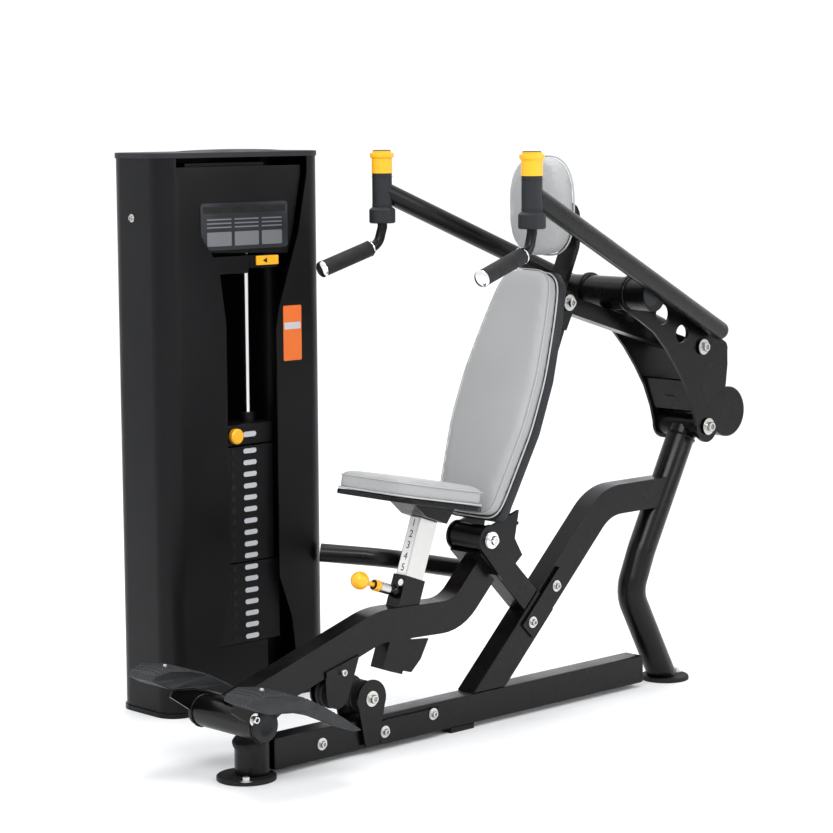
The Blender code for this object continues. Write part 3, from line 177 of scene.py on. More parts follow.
def tint_group():
    """A colour that drifts a little lighter and darker over the surface."""
    inputs = [("Colour", "NodeSocketColor", (0.5, 0.5, 0.5, 1)), ("Amount", "NodeSocketFloat", 0.15)]
    inputs.append(("Scale", "NodeSocketFloat", 14.0))
    group, enter, leave = new_group("tint", inputs, [("Colour", "NodeSocketColor")])
    where = group.nodes.new("ShaderNodeTexCoord")
    noise = group.nodes.new("ShaderNodeTexNoise")
    noise.inputs["Detail"].default_value = 6.0
    value = group.nodes.new("ShaderNodeMath")
    value.operation = "MULTIPLY_ADD"
    value.inputs[2].default_value = 1.0
    centre = group.nodes.new("ShaderNodeMath")
    centre.operation = "SUBTRACT"
    centre.inputs[1].default_value = 0.5
    shade = group.nodes.new("ShaderNodeHueSaturation")
    link = group.links.new
    link(where.outputs["Object"], noise.inputs["Vector"])
    link(enter.outputs["Scale"], noise.inputs["Scale"])
    link(noise.outputs["Fac"], centre.inputs[0])
    link(centre.outputs[0], value.inputs[0])
    link(enter.outputs["Amount"], value.inputs[1])
    link(value.outputs[0], shade.inputs["Value"])
    link(enter.outputs["Colour"], shade.inputs["Color"])
    link(shade.outputs["Color"], leave.inputs["Colour"])
    return group


GRAIN, SMUDGES, TINT = grain_group(), smudge_group(), tint_group()
print("node groups:", GRAIN.name, SMUDGES.name, TINT.name)


# %% Finishes
def finish(name, colour, rough, grain, metallic=0.0, tint=(0.15, 14.0), sockets=None):
    """A Principled material: tinted colour, smudged roughness (low, high, scale), grain (scale, depth)."""
    material = bpy.data.materials.new(name)
    material.use_nodes = True
    tree = material.node_tree
    shader = tree.nodes["Principled BSDF"]
    shader.inputs["Metallic"].default_value = metallic
    for label, value in (sockets or {}).items():
        shader.inputs[label].default_value = value
    groups = []
    for group in (TINT, SMUDGES, GRAIN):
        node = tree.nodes.new("ShaderNodeGroup")
        node.node_tree = group
        groups.append(node)
    paint, smudge, bump = groups
    paint.inputs["Colour"].default_value = (*colour, 1)
    paint.inputs["Amount"].default_value, paint.inputs["Scale"].default_value = tint
    for label, value in zip(("Low", "High", "Scale"), rough):
        smudge.inputs[label].default_value = value
    bump.inputs["Scale"].default_value, bump.inputs["Depth"].default_value = grain
    tree.links.new(paint.outputs["Colour"], shader.inputs["Base Color"])
    tree.links.new(smudge.outputs["Roughness"], shader.inputs["Roughness"])
    tree.links.new(bump.outputs["Normal"], shader.inputs["Normal"])
    material.diffuse_color = (*colour, 1)
    return material


def leather_grain(material, pebble=260.0, depth=0.35):
    """Adds the pebbled grain of vinyl: the walls between small cells stand lower than the cells."""
    tree = material.node_tree
    where = tree.nodes.new("ShaderNodeTexCoord")
    cells = tree.nodes.new("ShaderNodeTexVoronoi")
    cells.feature = "DISTANCE_TO_EDGE"
    cells.inputs["Scale"].default_value = pebble
    top = tree.nodes.new("ShaderNodeMapRange")
    top.inputs["From Max"].default_value = 0.25
    bump = tree.nodes.new("ShaderNodeBump")
    bump.inputs["Strength"].default_value = depth
    bump.inputs["Distance"].default_value = 0.0004
    shader = tree.nodes["Principled BSDF"]
    before = shader.inputs["Normal"].links[0].from_socket
    tree.links.new(where.outputs["Object"], cells.inputs["Vector"])
    tree.links.new(cells.outputs["Distance"], top.inputs["Value"])
    tree.links.new(top.outputs["Result"], bump.inputs["Height"])
    tree.links.new(before, bump.inputs["Normal"])
    tree.links.new(bump.outputs["Normal"], shader.inputs["Normal"])
    return material


def ridged(material, spacing, depth, direction="Y"):
    """Adds parallel moulded ridges, one each spacing along a direction."""
    tree = material.node_tree
    where = tree.nodes.new("ShaderNodeTexCoord")
    wave = tree.nodes.new("ShaderNodeTexWave")
    wave.bands_direction = direction
    wave.inputs["Scale"].default_value = math.pi / (10 * spacing)
    wave.inputs["Distortion"].default_value = 0.0
    bump = tree.nodes.new("ShaderNodeBump")
    bump.inputs["Strength"].default_value = depth
    bump.inputs["Distance"].default_value = 0.002
    shader = tree.nodes["Principled BSDF"]
    before = shader.inputs["Normal"].links[0].from_socket
    tree.links.new(where.outputs["Object"], wave.inputs["Vector"])
    tree.links.new(wave.outputs["Fac"], bump.inputs["Height"])
    tree.links.new(before, bump.inputs["Normal"])
    tree.links.new(bump.outputs["Normal"], shader.inputs["Normal"])
    return material


def brushed(material, along="Z"):
    """Stretches a fine noise along one axis, which reads as the lines of a brushed finish."""
    tree = material.node_tree
    where = tree.nodes.new("ShaderNodeTexCoord")
    stretch = tree.nodes.new("ShaderNodeMapping")
    scale = [900.0, 900.0, 900.0]
    scale["XYZ".index(along)] = 12.0
    stretch.inputs["Scale"].default_value = scale
    noise = tree.nodes.new("ShaderNodeTexNoise")
    noise.inputs["Scale"].default_value = 1.0
    bump = tree.nodes.new("ShaderNodeBump")
    bump.inputs["Strength"].default_value = 0.12
    bump.inputs["Distance"].default_value = 0.0003
    shader = tree.nodes["Principled BSDF"]
    tree.links.new(where.outputs["Object"], stretch.inputs["Vector"])
    tree.links.new(stretch.outputs["Vector"], noise.inputs["Vector"])
    tree.links.new(noise.outputs["Fac"], bump.inputs["Height"])
    tree.links.new(bump.outputs["Normal"], shader.inputs["Normal"])
    return material


COAT = {"Coat Weight": 0.35, "Coat Roughness": 0.18}
GLOSS = {"Specular IOR Level": 0.30, "Coat Weight": 0.10, "Coat Roughness": 0.12}
DULL = {"Specular IOR Level": 0.3}
POWDER = finish("black_powder_coat", (0.0035, 0.0035, 0.0040), (0.22, 0.34, 7), (1100, 0.18), sockets=GLOSS)
SHROUD = finish("shroud_paint", (0.0045, 0.0045, 0.0052), (0.30, 0.42, 4), (1400, 0.2), tint=(0.1, 5),
                sockets={"Specular IOR Level": 0.28})
GREY_PLASTIC = finish("grey_moulding", (0.022, 0.023, 0.026), (0.42, 0.55, 20), (1600, 0.3),
                      sockets={"Specular IOR Level": 0.35})
VINYL = leather_grain(
    finish("pad_vinyl", (0.33, 0.335, 0.335), (0.36, 0.50, 12), (90, 0.12), tint=(0.08, 6),
           sockets={"Sheen Weight": 0.12, "Sheen Roughness": 0.5})
)
PIPING = finish("pad_piping", (0.40, 0.40, 0.40), (0.40, 0.50, 30), (500, 0.15))
YELLOW = finish("yellow_plastic", (0.86, 0.42, 0.012), (0.28, 0.42, 30), (900, 0.12),
                tint=(0.12, 25), sockets=COAT)
RUBBER = finish("black_rubber", (0.008, 0.008, 0.009), (0.62, 0.78, 25), (1500, 0.5), tint=(0.2, 30))
FOOT_RUBBER = finish("foot_rubber", (0.024, 0.025, 0.028), (0.55, 0.7, 25), (1300, 0.4))
ridged(FOOT_RUBBER, 0.012, 0.9, "X")
GRIP_RUBBER = finish("grip_rubber", (0.008, 0.008, 0.009), (0.55, 0.7, 40), (900, 0.4))
leather_grain(GRIP_RUBBER, 420, 0.8)
STEEL = brushed(finish("brushed_stainless", (0.60, 0.60, 0.58), (0.22, 0.34, 14), (400, 0.1), 1.0))
CHROME = finish("polished_chrome", (0.82, 0.82, 0.83), (0.04, 0.09, 10), (60, 0.01), 1.0, tint=(0.04, 8))
IRON = finish("plate_paint", (0.006, 0.006, 0.007), (0.40, 0.55, 12), (500, 0.4), sockets=DULL)
CABLE = finish("cable_jacket", (0.012, 0.012, 0.012), (0.3, 0.45, 50), (900, 0.3))
LABEL = finish("label_print", (0.50, 0.51, 0.53), (0.35, 0.45, 40), (900, 0.05), tint=(0.06, 60))
PLACARD = finish("placard_face", (0.030, 0.031, 0.035), (0.16, 0.26, 12), (200, 0.02), sockets=COAT)
PRINT = finish("grey_print", (0.16, 0.165, 0.175), (0.3, 0.42, 40), (900, 0.05))
ORANGE = finish("orange_label", (0.72, 0.17, 0.03), (0.3, 0.42, 40), (900, 0.05))
WHITE = finish("white_print", (0.82, 0.82, 0.81), (0.35, 0.45, 40), (900, 0.05), tint=(0.04, 60))
# Dark print for digits, marks and bands. On the plates' pin holes the same dark is painted shade standing in
# for the hole's depth.
DARK_PRINT_AND_HOLE_SHADE = finish("dark_print_and_painted_hole_shade", (0.006, 0.006, 0.006), (0.6, 0.8, 20), (400, 0.2))
FLOOR = finish("studio_floor", (0.93, 0.93, 0.93), (0.5, 0.6, 1), (20, 0.02), tint=(0.02, 1))
print(len(bpy.data.materials), "materials")

# %% Floor
def make_floor(reach=8.0, rise=3.0, tall=3.5, steps=24):
    """A round studio sweep: flat out to reach, then a quarter circle of radius rise, then upright.

    For each share of a full turn, the profile (radius, height) stands at that angle.
    """
    turn = np.linspace(0, math.pi / 2, 12)
    radius = np.r_[0.01, 1.2, reach, reach + rise * np.sin(turn), reach + rise]
    height = np.r_[0, 0, 0, rise * (1 - np.cos(turn)), tall] - 0.0003
    angle = np.linspace(0, math.tau, 4 * steps, endpoint=False)
    tall_columns = np.repeat(height[:, None], len(angle), 1)
    grid = np.dstack([np.outer(radius, np.cos(angle)), np.outer(radius, np.sin(angle)), tall_columns])
    index = np.arange(grid.shape[0] * grid.shape[1]).reshape(grid.shape[:2])
    nxt = np.roll(index, -1, axis=1)
    faces = np.stack([index[:-1], index[1:], nxt[1:], nxt[:-1]], axis=-1).reshape(-1, 4).tolist()
    mesh = bpy.data.meshes.new("studio_floor")
    mesh.from_pydata(grid.reshape(-1, 3).tolist(), [], faces)
    mesh.polygons.foreach_set("use_smooth", np.ones(len(faces), bool))
    mesh.materials.append(FLOOR)
    obj = bpy.data.objects.new("studio_floor", mesh)
    bpy.context.scene.collection.objects.link(obj)


make_floor()


# %% [markdown]
# ## Shading of the carried-over pieces
# The CAD meshes are made of loose triangles. Their shapes stay as they are, but each corner
# gets the mean normal of the faces that meet there at a shallow angle, so tubes look round.

# %% Smooth corners and CAD finishes
SAME_POINT = 2e-5    # corners nearer than this belong together


def smooth_corners(obj, limit=38.0):
    """Sets corner normals: the area-weighted mean over faces at the same point within the limit."""
    mesh = obj.data
    count = len(mesh.polygons)
    normals = np.empty(count * 3, np.float32)
    mesh.polygons.foreach_get("normal", normals)
    areas = np.empty(count, np.float32)
    mesh.polygons.foreach_get("area", areas)
    normals = normals.reshape(-1, 3)
    points = np.empty(len(mesh.vertices) * 3, np.float32)
    mesh.vertices.foreach_get("co", points)
    corner = np.empty(len(mesh.loops), np.int32)
    mesh.loops.foreach_get("vertex_index", corner)
    face = np.repeat(np.arange(count), [len(p.vertices) for p in mesh.polygons])
    cells = np.round(points.reshape(-1, 3) / SAME_POINT).astype(np.int64)
    _, place = np.unique(cells, axis=0, return_inverse=True)
    place = place.reshape(-1)[corner]
    order = np.argsort(place, kind="stable")
    starts = np.flatnonzero(np.r_[True, np.diff(place[order]) > 0, True])
    out = np.empty((len(corner), 3), np.float32)
    cosine = math.cos(math.radians(limit))
    for a, b in zip(starts, starts[1:]):
        members = order[a:b]
        mine = normals[face[members]]
        near = (mine @ mine.T > cosine) * areas[face[members]]
        mean = near @ mine
        out[members] = mean / np.maximum(np.linalg.norm(mean, axis=1, keepdims=True), 1e-9)
    mesh.polygons.foreach_set("use_smooth", np.ones(count, bool))
    mesh.normals_split_custom_set(out.tolist())


def dress(names, material):
    for name in names.split():
        obj = nodes[name]
        obj.data.materials.clear()
        obj.data.materials.append(material)
        smooth_corners(obj)


dress("base_rail front_post rear_upright diagonal_tube arch_tube pivot_bracket tower_stay", POWDER)
dress("rail_pulley_block arm_yoke cross_tube arm_tube_left arm_tube_right counterweight link_bar", POWDER)
dress("seat_tube seat_sleeve carriage_yoke back_post foot_tube carriage_pulley_block seat_plate", POWDER)
dress("handle_bar_left handle_bar_right", POWDER)
dress("front_shroud rear_shroud tower_base header_panel stack_guard tower_crossbar", SHROUD)
dress("tower_cap rail_pulley lift_pulley carriage_pulley back_shell", GREY_PLASTIC)
dress("handle_sleeve_left handle_sleeve_right", GREY_PLASTIC)
dress("back_pad head_pad seat_pad", VINYL)
dress("seat_post arm_pivot_bolt seat_pivot_bolt", STEEL)
dress("guide_rod_front guide_rod_rear", CHROME)
dress("addon_lever selector_pin release_cap_left release_cap_right seat_pin", YELLOW)
dress("stop_cap front_foot rear_foot", RUBBER)
dress("foot_pad_left foot_pad_right", FOOT_RUBBER)
dress("grip_left grip_right", GRIP_RUBBER)
dress("heavy_plates light_plates top_plate", IRON)
dress("lift_cable", CABLE)
print("dressed", len(nodes), "nodes")


# %% [markdown]
# ## Surfaces from formulas
# Each helper returns points on a grid. `skin` joins the grid's rows and columns into faces
# that point outwards. Several small pieces on one body are gathered in one object.

# %% Surface helpers
def skin(grid, wrap=True, ends=True):
    """Faces over a (rows, columns, 3) grid: columns wrap round, and each end row may be capped."""
    rows, columns = grid.shape[:2]
    index = np.arange(rows * columns).reshape(rows, columns)
    right = np.roll(index, -1, axis=1) if wrap else index[:, 1:]
    left = index if wrap else index[:, :-1]
    quads = np.stack([left[:-1], right[:-1], right[1:], left[1:]], axis=-1).reshape(-1, 4)
    faces = quads.tolist()
    if ends and wrap:
        faces += [index[0][::-1].tolist(), index[-1].tolist()]
    return grid.reshape(-1, 3), faces


def new_piece(name, parts, material, body, smooth=40.0):
    """One object from several (points, faces) parts; it rides on a CAD body."""
    points, faces, base = [], [], 0
    for some_points, some_faces in parts:
        points.append(np.asarray(some_points, float))
        faces += [[base + i for i in face] for face in some_faces]
        base += len(some_points)
    mesh = bpy.data.meshes.new(name)
    mesh.from_pydata(np.concatenate(points).tolist(), [], faces)
    mesh.polygons.foreach_set("use_smooth", np.ones(len(faces), bool))
    mesh.set_sharp_from_angle(angle=math.radians(smooth))
    mesh.materials.append(material)
    obj = bpy.data.objects.new(name, mesh)
    bpy.context.scene.collection.objects.link(obj)
    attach(obj, body)
    return obj


def axes_along(direction):
    """Two unit vectors square to a direction and to each other, so that the three are right-handed."""
    along = np.asarray(direction, float) / np.linalg.norm(direction)
    helper = np.array([0, 0, 1.0]) if abs(along[2]) < 0.9 else np.array([0, 1.0, 0])
    first = np.cross(helper, along)
    first /= np.linalg.norm(first)
    return first, np.cross(along, first), along


def lathe(profile, at, direction, sides=24):
    """(radius, height) points turned about a direction: radius times a circle, plus height along it."""
    first, second, along = axes_along(direction)
    turn = np.linspace(0, math.tau, sides, endpoint=False)
    circle = np.cos(turn)[:, None] * first + np.sin(turn)[:, None] * second
    radius, height = np.array(profile, float).T
    grid = np.asarray(at, float) + radius[:, None, None] * circle + height[:, None, None] * along
    return skin(grid)


def sweep(path, radius, sides=10, closed=False):
    """A round bead along a path of points: at each point a circle square to the path's direction."""
    path = np.asarray(path, float)
    if closed:
        along = np.roll(path, -1, axis=0) - np.roll(path, 1, axis=0)
    else:
        along = np.gradient(path, axis=0)
    along /= np.linalg.norm(along, axis=1, keepdims=True)
    helper = np.array([1.0, 0, 0]) if np.abs(along[:, 0]).max() < 0.95 else np.array([0.31, 0.43, 0.85])
    first = np.cross(helper, along)
    first /= np.linalg.norm(first, axis=1, keepdims=True)
    second = np.cross(along, first)
    turn = np.linspace(0, math.tau, sides, endpoint=False)[None, :, None]
    grid = path[:, None] + radius * (np.cos(turn) * first[:, None] + np.sin(turn) * second[:, None])
    if closed:
        grid = np.concatenate([grid, grid[:1]])
    return skin(grid, ends=not closed)


def slab(corners, direction, thickness):
    """A thin plate: a flat outline given in order about a direction, and its copy one thickness up."""
    _, _, along = axes_along(direction)
    low = np.asarray(corners, float)
    grid = np.stack([low, low + along * thickness])
    return skin(grid)


def bolt(at, direction, radius=0.0085):
    """A socket-head screw on a washer: turned profile with a hollow for the key."""
    r = radius
    washer = [(0.001, 0), (1.75 * r, 0), (1.75 * r, 0.0016), (1.05 * r, 0.0018)]
    head = [(r, 0.0018), (r, 0.82 * r + 0.0014), (0.9 * r, r + 0.0016), (0.56 * r, r + 0.0016)]
    key = [(0.52 * r, 0.5 * r), (0.001, 0.5 * r)]
    return lathe(washer + head + key, at, direction, 20)


def both_sides(x, y, z):
    """The same screw on the left and the right side, each pointing away from the centre plane."""
    return [((x, y, z), (1, 0, 0)), ((-x, y, z), (-1, 0, 0))]


# %% [markdown]
# ## Fasteners, beads and end caps
# A screw head could be a cylinder with a Boolean pocket. A turned profile gives the washer,
# the head and the key's hollow in one closed surface and far fewer faces.
#
# The screws are turned surfaces, gathered by body, because each turns with its body only.

# %% Fasteners
def face_x(name):
    """How far a node reaches from the centre plane on the user's left."""
    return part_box(name)[1].x


rail_x = face_x("base_rail")
diagonal_x = face_x("diagonal_tube")
frame_screws = both_sides(rail_x, -0.269, 0.046) + both_sides(rail_x, -0.107, 0.062)
frame_screws += both_sides(rail_x - 0.006, -0.466, 0.050)
frame_screws += both_sides(diagonal_x, 0.246, 0.240) + both_sides(diagonal_x, 0.334, 0.322)
frame_screws += [((0, 0.848, 0.010), (0, 0, 1)), ((0.046, -0.712, 0.010), (0, 0, 1))]
new_piece("frame_screws", [bolt(at, way) for at, way in frame_screws], STEEL, "frame")
pulley_screws = both_sides(face_x("rail_pulley_block"), -0.316, 0.136)
new_piece("rail_pulley_screws", [bolt(at, way, 0.011) for at, way in pulley_screws], STEEL, "frame")
pivot = both_sides(face_x("arm_pivot_bolt"), 0.878, 0.689)
new_piece("arm_pivot_heads", [bolt(at, way, 0.013) for at, way in pivot], STEEL, "frame")
pivot = both_sides(face_x("seat_pivot_bolt"), 0.071, 0.476)
heads = [bolt(at, way, 0.012) for at, way in pivot]
washer = [(0.012, 0), (0.021, 0), (0.021, 0.003), (0.019, 0.0045), (0.012, 0.0045)]
inward = 0.0058
heads += [lathe(washer, (at[0] - way[0] * inward, *at[1:]), way, 32) for at, way in pivot]
new_piece("seat_pivot_heads", heads, CHROME, "frame")
arm_screws = both_sides(face_x("arm_yoke"), 0.855, 0.905)
new_piece("link_pin_heads", [bolt(at, way, 0.012) for at, way in arm_screws], STEEL, "press_arms")
carriage_screws = both_sides(face_x("foot_tube"), -0.742, 0.171)
carriage_screws += both_sides(face_x("carriage_pulley_block") - 0.002, -0.400, 0.212)
new_piece("carriage_screws", [bolt(at, way) for at, way in carriage_screws], STEEL, "carriage")
link_screws = both_sides(face_x("back_post"), 0.383, 1.047)
new_piece("back_link_heads", [bolt(at, way, 0.012) for at, way in link_screws], STEEL, "carriage")
head_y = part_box("back_post")[1].y
new_piece("head_pad_screw", [bolt((0, head_y - 0.0005, 1.225), (0, 1, 0))], STEEL, "carriage")
print(len(frame_screws) + len(carriage_screws), "side screws placed")


# %% Weld beads and end caps
def ring_bead(centre, radius, direction, bead=0.003, steps=40):
    """A weld bead round a tube: a circle with a small ripple along it."""
    first, second, _ = axes_along(direction)
    turn = np.linspace(0, math.tau, steps, endpoint=False)[:, None]
    ripple = 1 + 0.012 * np.sin(turn * 17)
    circle = np.cos(turn) * first + np.sin(turn) * second
    return sweep(np.asarray(centre) + radius * ripple * circle, bead, 6, True)


CROSS_TUBE = (0.578, 1.061)
yoke_beads = [ring_bead((sign * x, *CROSS_TUBE), 0.0435, (1, 0, 0))
              for sign in (1, -1) for x in (0.0685, 0.0795)]
new_piece("yoke_welds", yoke_beads, POWDER, "press_arms")
FOOT_TUBE = (-0.712, 0.150)
foot_beads = [ring_bead((sign * 0.1062, *FOOT_TUBE), 0.0365, (1, 0, 0)) for sign in (1, -1)]
new_piece("foot_tube_welds", foot_beads, POWDER, "carriage")
upright_axis = (0, 0.4756, 0.8797)
new_piece("hub_weld", [ring_bead((0, 0.8600, 0.6560), 0.0385, upright_axis)], POWDER, "frame")


def dome(at, direction, radius, depth=0.55):
    """A shallow dome: radius times the cosine and depth times the sine of a quarter turn."""
    turn = np.linspace(0, math.pi / 2 - 0.03, 7)
    profile = np.stack([radius * np.cos(turn), radius * depth * np.sin(turn)], axis=1)
    return lathe(profile.tolist(), at, direction, 32)


for ending, sign in (("left", 1), ("right", -1)):
    front = np.array([sign * 0.261, 0.011, 1.336])
    rear = np.array([sign * 0.1053, 0.895, 0.947])
    new_piece("arm_end_" + ending, [dome(rear, rear - front, 0.0248, 0.7)], POWDER, "press_arms")
    cap = [(0.036, 0), (0.036, 0.0035), (0.033, 0.005), (0.018, 0.005), (0.016, 0.0035), (0.001, 0.0035)]
    at = (sign * (face_x("foot_tube") + 0.0003), *FOOT_TUBE)
    new_piece("foot_tube_cap_" + ending, [lathe(cap, at, (sign, 0, 0), 36)], GREY_PLASTIC, "carriage")
plug = [(0.030, 0), (0.030, 0.0012), (0.001, 0.0012)]
cross_ends = [lathe(plug, (sign * 0.150, 0.566, 1.064), (sign, 0, 0), 30) for sign in (1, -1)]
new_piece("cross_tube_plugs", cross_ends, GREY_PLASTIC, "press_arms")
rail_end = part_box("base_rail")[1].y
corners = [(x, rail_end, z) for x, z in ((-0.028, 0.015), (-0.028, 0.084), (0.028, 0.084), (0.028, 0.015))]
new_piece("rail_end_plug", [slab(corners, (0, 1, 0), 0.003)], GREY_PLASTIC, "frame")


# %% [markdown]
# ## Handles
# A chrome ring closes the grip's inner end, and a chrome cap its outer end. The yellow
# release caps get their dark top discs, and the sleeves a moulded parting ring.

# %% Handle trim
for ending, sign in (("left", 1), ("right", -1)):
    start = np.array([sign * 0.263, -0.002, 1.200])
    tip = np.array([sign * 0.279, -0.172, 1.147])
    way = (tip - start) / np.linalg.norm(tip - start)
    cap = [(0.0195, 0), (0.0205, 0.001), (0.0205, 0.006), (0.018, 0.0085), (0.008, 0.0095), (0.001, 0.0098)]
    ring = [(0.0128, 0), (0.0205, 0), (0.0208, 0.002), (0.0205, 0.004), (0.0128, 0.004)]
    body = "handle_" + ending
    new_piece("grip_end_" + ending, [lathe(cap, tip + way * 0.0004, way, 32)], CHROME, body)
    new_piece("grip_ring_" + ending, [lathe(ring, start + way * 0.0255, way, 32)], CHROME, body)
    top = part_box("release_cap_" + ending)[1].z
    at = (sign * 0.261, 0.011, top)
    disc = [(0.0225, 0), (0.0225, 0.0012), (0.020, 0.002), (0.001, 0.0022)]
    new_piece("cap_disc_" + ending, [lathe(disc, at, (0, 0, 1), 32)], GREY_PLASTIC, "cap_" + ending)
    groove = [ring_bead((sign * 0.261, 0.011, z), 0.0252, (0, 0, 1), 0.0012) for z in (1.300, 1.371)]
    new_piece("sleeve_rings_" + ending, groove, GREY_PLASTIC, "press_arms")


# %% [markdown]
# ## Pads
# A pad can be a bevelled block, a sculpted mesh or a simulated skin. A block keeps its flat
# faces and a sculpted mesh can't be read from the script, so these are simulated.
#
# Each pad is a closed crowned form from an outline formula. A short Cloth run with inner
# pressure swells it, and a cap on the movement keeps it in the CAD pad's space. The real pads
# are vinyl pulled over foam on a board, with a welt along the edge, which is added afterwards.

# %% Pad helpers
def crowned(outline, thickness, crown, shrink, rings=7):
    """A closed form over a flat outline: z = 0 below, and above it thickness times a crown profile.

    Towards the middle the top rises by crown * (1 - s^2), where s is the share of the way out.
    """
    outline = np.asarray(outline, float)
    centre = outline.mean(axis=0)
    share = np.r_[np.linspace(0.12, 0.88, rings), 0.95, 0.985, 1.0]
    flat = centre + (outline - centre) * shrink
    top = centre + (flat - centre)[None] * share[:, None, None]
    edge = np.clip((share - 0.88) / 0.12, 0, 1)
    height = thickness * (1 - 0.10 * edge ** 2) - crown * share ** 2
    upper = np.dstack([top, np.broadcast_to(height[:, None, None], top.shape[:2] + (1,))])
    lower = np.dstack([top[::-1], np.full(top.shape[:2] + (1,), 0.0)])
    lower[0, :, 2] = 0.06 * thickness
    points, faces = skin(np.concatenate([upper, lower])[::-1])
    return points, faces


def inflate(obj, cap, pressure=4.0, frames=20):
    """Swells the mesh with Cloth pressure and keeps each point within cap of where it started."""
    mesh = obj.data
    rest = np.empty(len(mesh.vertices) * 3, np.float32)
    mesh.vertices.foreach_get("co", rest)
    cloth = obj.modifiers.new("swell", "CLOTH")
    cloth.settings.use_pressure = True
    cloth.settings.uniform_pressure_force = pressure
    cloth.settings.effector_weights.gravity = 0
    cloth.settings.quality = 4
    cloth.collision_settings.use_collision = False
    scene = bpy.context.scene
    for frame_number in range(1, frames + 1):
        scene.frame_set(frame_number)
    evaluated = obj.evaluated_get(bpy.context.evaluated_depsgraph_get())
    moved = np.empty(len(rest), np.float32)
    evaluated.data.vertices.foreach_get("co", moved)
    obj.modifiers.remove(cloth)
    scene.frame_set(1)
    step = (moved - rest).reshape(-1, 3)
    length = np.linalg.norm(step, axis=1, keepdims=True)
    step *= np.minimum(1, cap / np.maximum(length, 1e-9))
    mesh.vertices.foreach_set("co", (rest.reshape(-1, 3) + step).ravel())
    mesh.update()


def apply_modifier(obj, kind, **settings):
    """Adds a modifier, sets it and writes its result into the mesh."""
    modifier = obj.modifiers.new(kind.lower(), kind)
    for key, value in settings.items():
        setattr(modifier, key, value)
    evaluated = obj.evaluated_get(bpy.context.evaluated_depsgraph_get())
    mesh = bpy.data.meshes.new_from_object(evaluated)
    obj.modifiers.clear()
    obj.data = mesh


def keep_above_board(obj, low=0.0012):
    """Raises every point below the board's face to just above it: z = max(z, low)."""
    points = np.empty(len(obj.data.vertices) * 3, np.float32)
    obj.data.vertices.foreach_get("co", points)
    points[2::3] = np.maximum(points[2::3], low)
    obj.data.vertices.foreach_set("co", points)


def pad(name, outline, thickness, crown, place, body, node, cap=0.004):
    """A swollen cushion, moved to its place by a 4 x 4 matrix: outline in its own x, y and up along its z."""
    points, faces = crowned(outline, thickness - 0.5 * cap, crown, 0.99)
    mesh = bpy.data.meshes.new(name)
    mesh.from_pydata(points.tolist(), [], faces)
    obj = bpy.data.objects.new(name, mesh)
    bpy.context.scene.collection.objects.link(obj)
    apply_modifier(obj, "REMESH", mode="VOXEL", voxel_size=0.005)
    inflate(obj, cap)
    keep_above_board(obj)
    apply_modifier(obj, "SMOOTH", factor=0.5, iterations=2)
    apply_modifier(obj, "SUBSURF", levels=1, render_levels=1)
    obj.data.transform(place)
    obj.data.polygons.foreach_set("use_smooth", np.ones(len(obj.data.polygons), bool))
    obj.data.materials.clear()
    obj.data.materials.append(VINYL)
    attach(obj, body)
    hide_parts(node)
    print(name, len(obj.data.polygons), "faces")
    return obj


def welt(name, outline, height, place, body, radius=0.0024):
    """A piped seam along an outline at one height, in the pad's own axes."""
    outline = np.asarray(outline, float)
    path = np.column_stack([outline, np.full(len(outline), height)])
    points, faces = sweep(path, radius, 8, closed=True)
    turn = np.array(place)
    return new_piece(name, [(points @ turn[:3, :3].T + turn[:3, 3], faces)], PIPING, body)


def resample(outline, count):
    """Evenly spaced points along a closed outline."""
    outline = np.asarray(outline, float)
    closed = np.vstack([outline, outline[:1]])
    run = np.r_[0, np.cumsum(np.linalg.norm(np.diff(closed, axis=0), axis=1))]
    where = np.linspace(0, run[-1], count, endpoint=False)
    return np.column_stack([np.interp(where, run, closed[:, i]) for i in (0, 1)])


def rounded(outline, passes=6):
    """An evenly spaced outline with softened corners: each pass is p = (before + 2 p + after) / 4."""
    points = resample(outline, 120)
    for _ in range(passes):
        points = (np.roll(points, 1, axis=0) + 2 * points + np.roll(points, -1, axis=0)) / 4
    return points


# %% Back pad
BACK_LEAN = math.radians(21.8)
back_rows = np.array([(0.545, 0.085), (0.560, 0.097), (0.602, 0.105), (0.762, 0.130), (0.888, 0.129),
                      (1.023, 0.109), (1.120, 0.088), (1.146, 0.060)])
tall = math.cos(BACK_LEAN)
BACK_MIDDLE = 0.83
up_pad = (back_rows[:, 0] - BACK_MIDDLE) / tall
right_edge = np.column_stack([back_rows[:, 1], up_pad])
back_outline = np.vstack([right_edge, right_edge[::-1] * (-1, 1)])
back_outline = rounded(back_outline)
back_front = 0.044 + math.tan(BACK_LEAN) * (BACK_MIDDLE - 0.602)
# Own axes: x across, y up the pad, z out of its face towards the user.
BACK_THICK = 0.045
back_turn = Matrix.Rotation(math.pi / 2 - BACK_LEAN, 4, "X")
back_centre = Vector((0, back_front + BACK_THICK * tall, BACK_MIDDLE - BACK_THICK * math.sin(BACK_LEAN)))
back_place = Matrix.Translation(back_centre) @ back_turn
pad("back_cushion", back_outline, BACK_THICK, 0.003, back_place, "carriage", "back_pad")
welt("back_cushion_welt", back_outline * 0.992, 0.004, back_place, "carriage")
welt("back_cushion_seam", back_outline * 0.985, BACK_THICK - 0.012, back_place, "carriage", 0.0013)


# %% Seat pad
def seat_outline(rear=0.142, front=0.128, length=0.282, corner=0.045):
    """A trapezium with quarter-round corners, rear edge at y = 0 and front edge at y = -length."""
    turn = np.linspace(0, math.pi / 2, 10)
    r = corner
    corners = [(rear - r, -r), (r - rear, -r), (r - front, r - length), (front - r, r - length)]
    parts = []
    for quarter, (x, y) in enumerate(corners):
        angle = turn + quarter * math.pi / 2
        parts.append(np.column_stack([x + r * np.cos(angle), y + r * np.sin(angle)]))
    return np.vstack(parts)


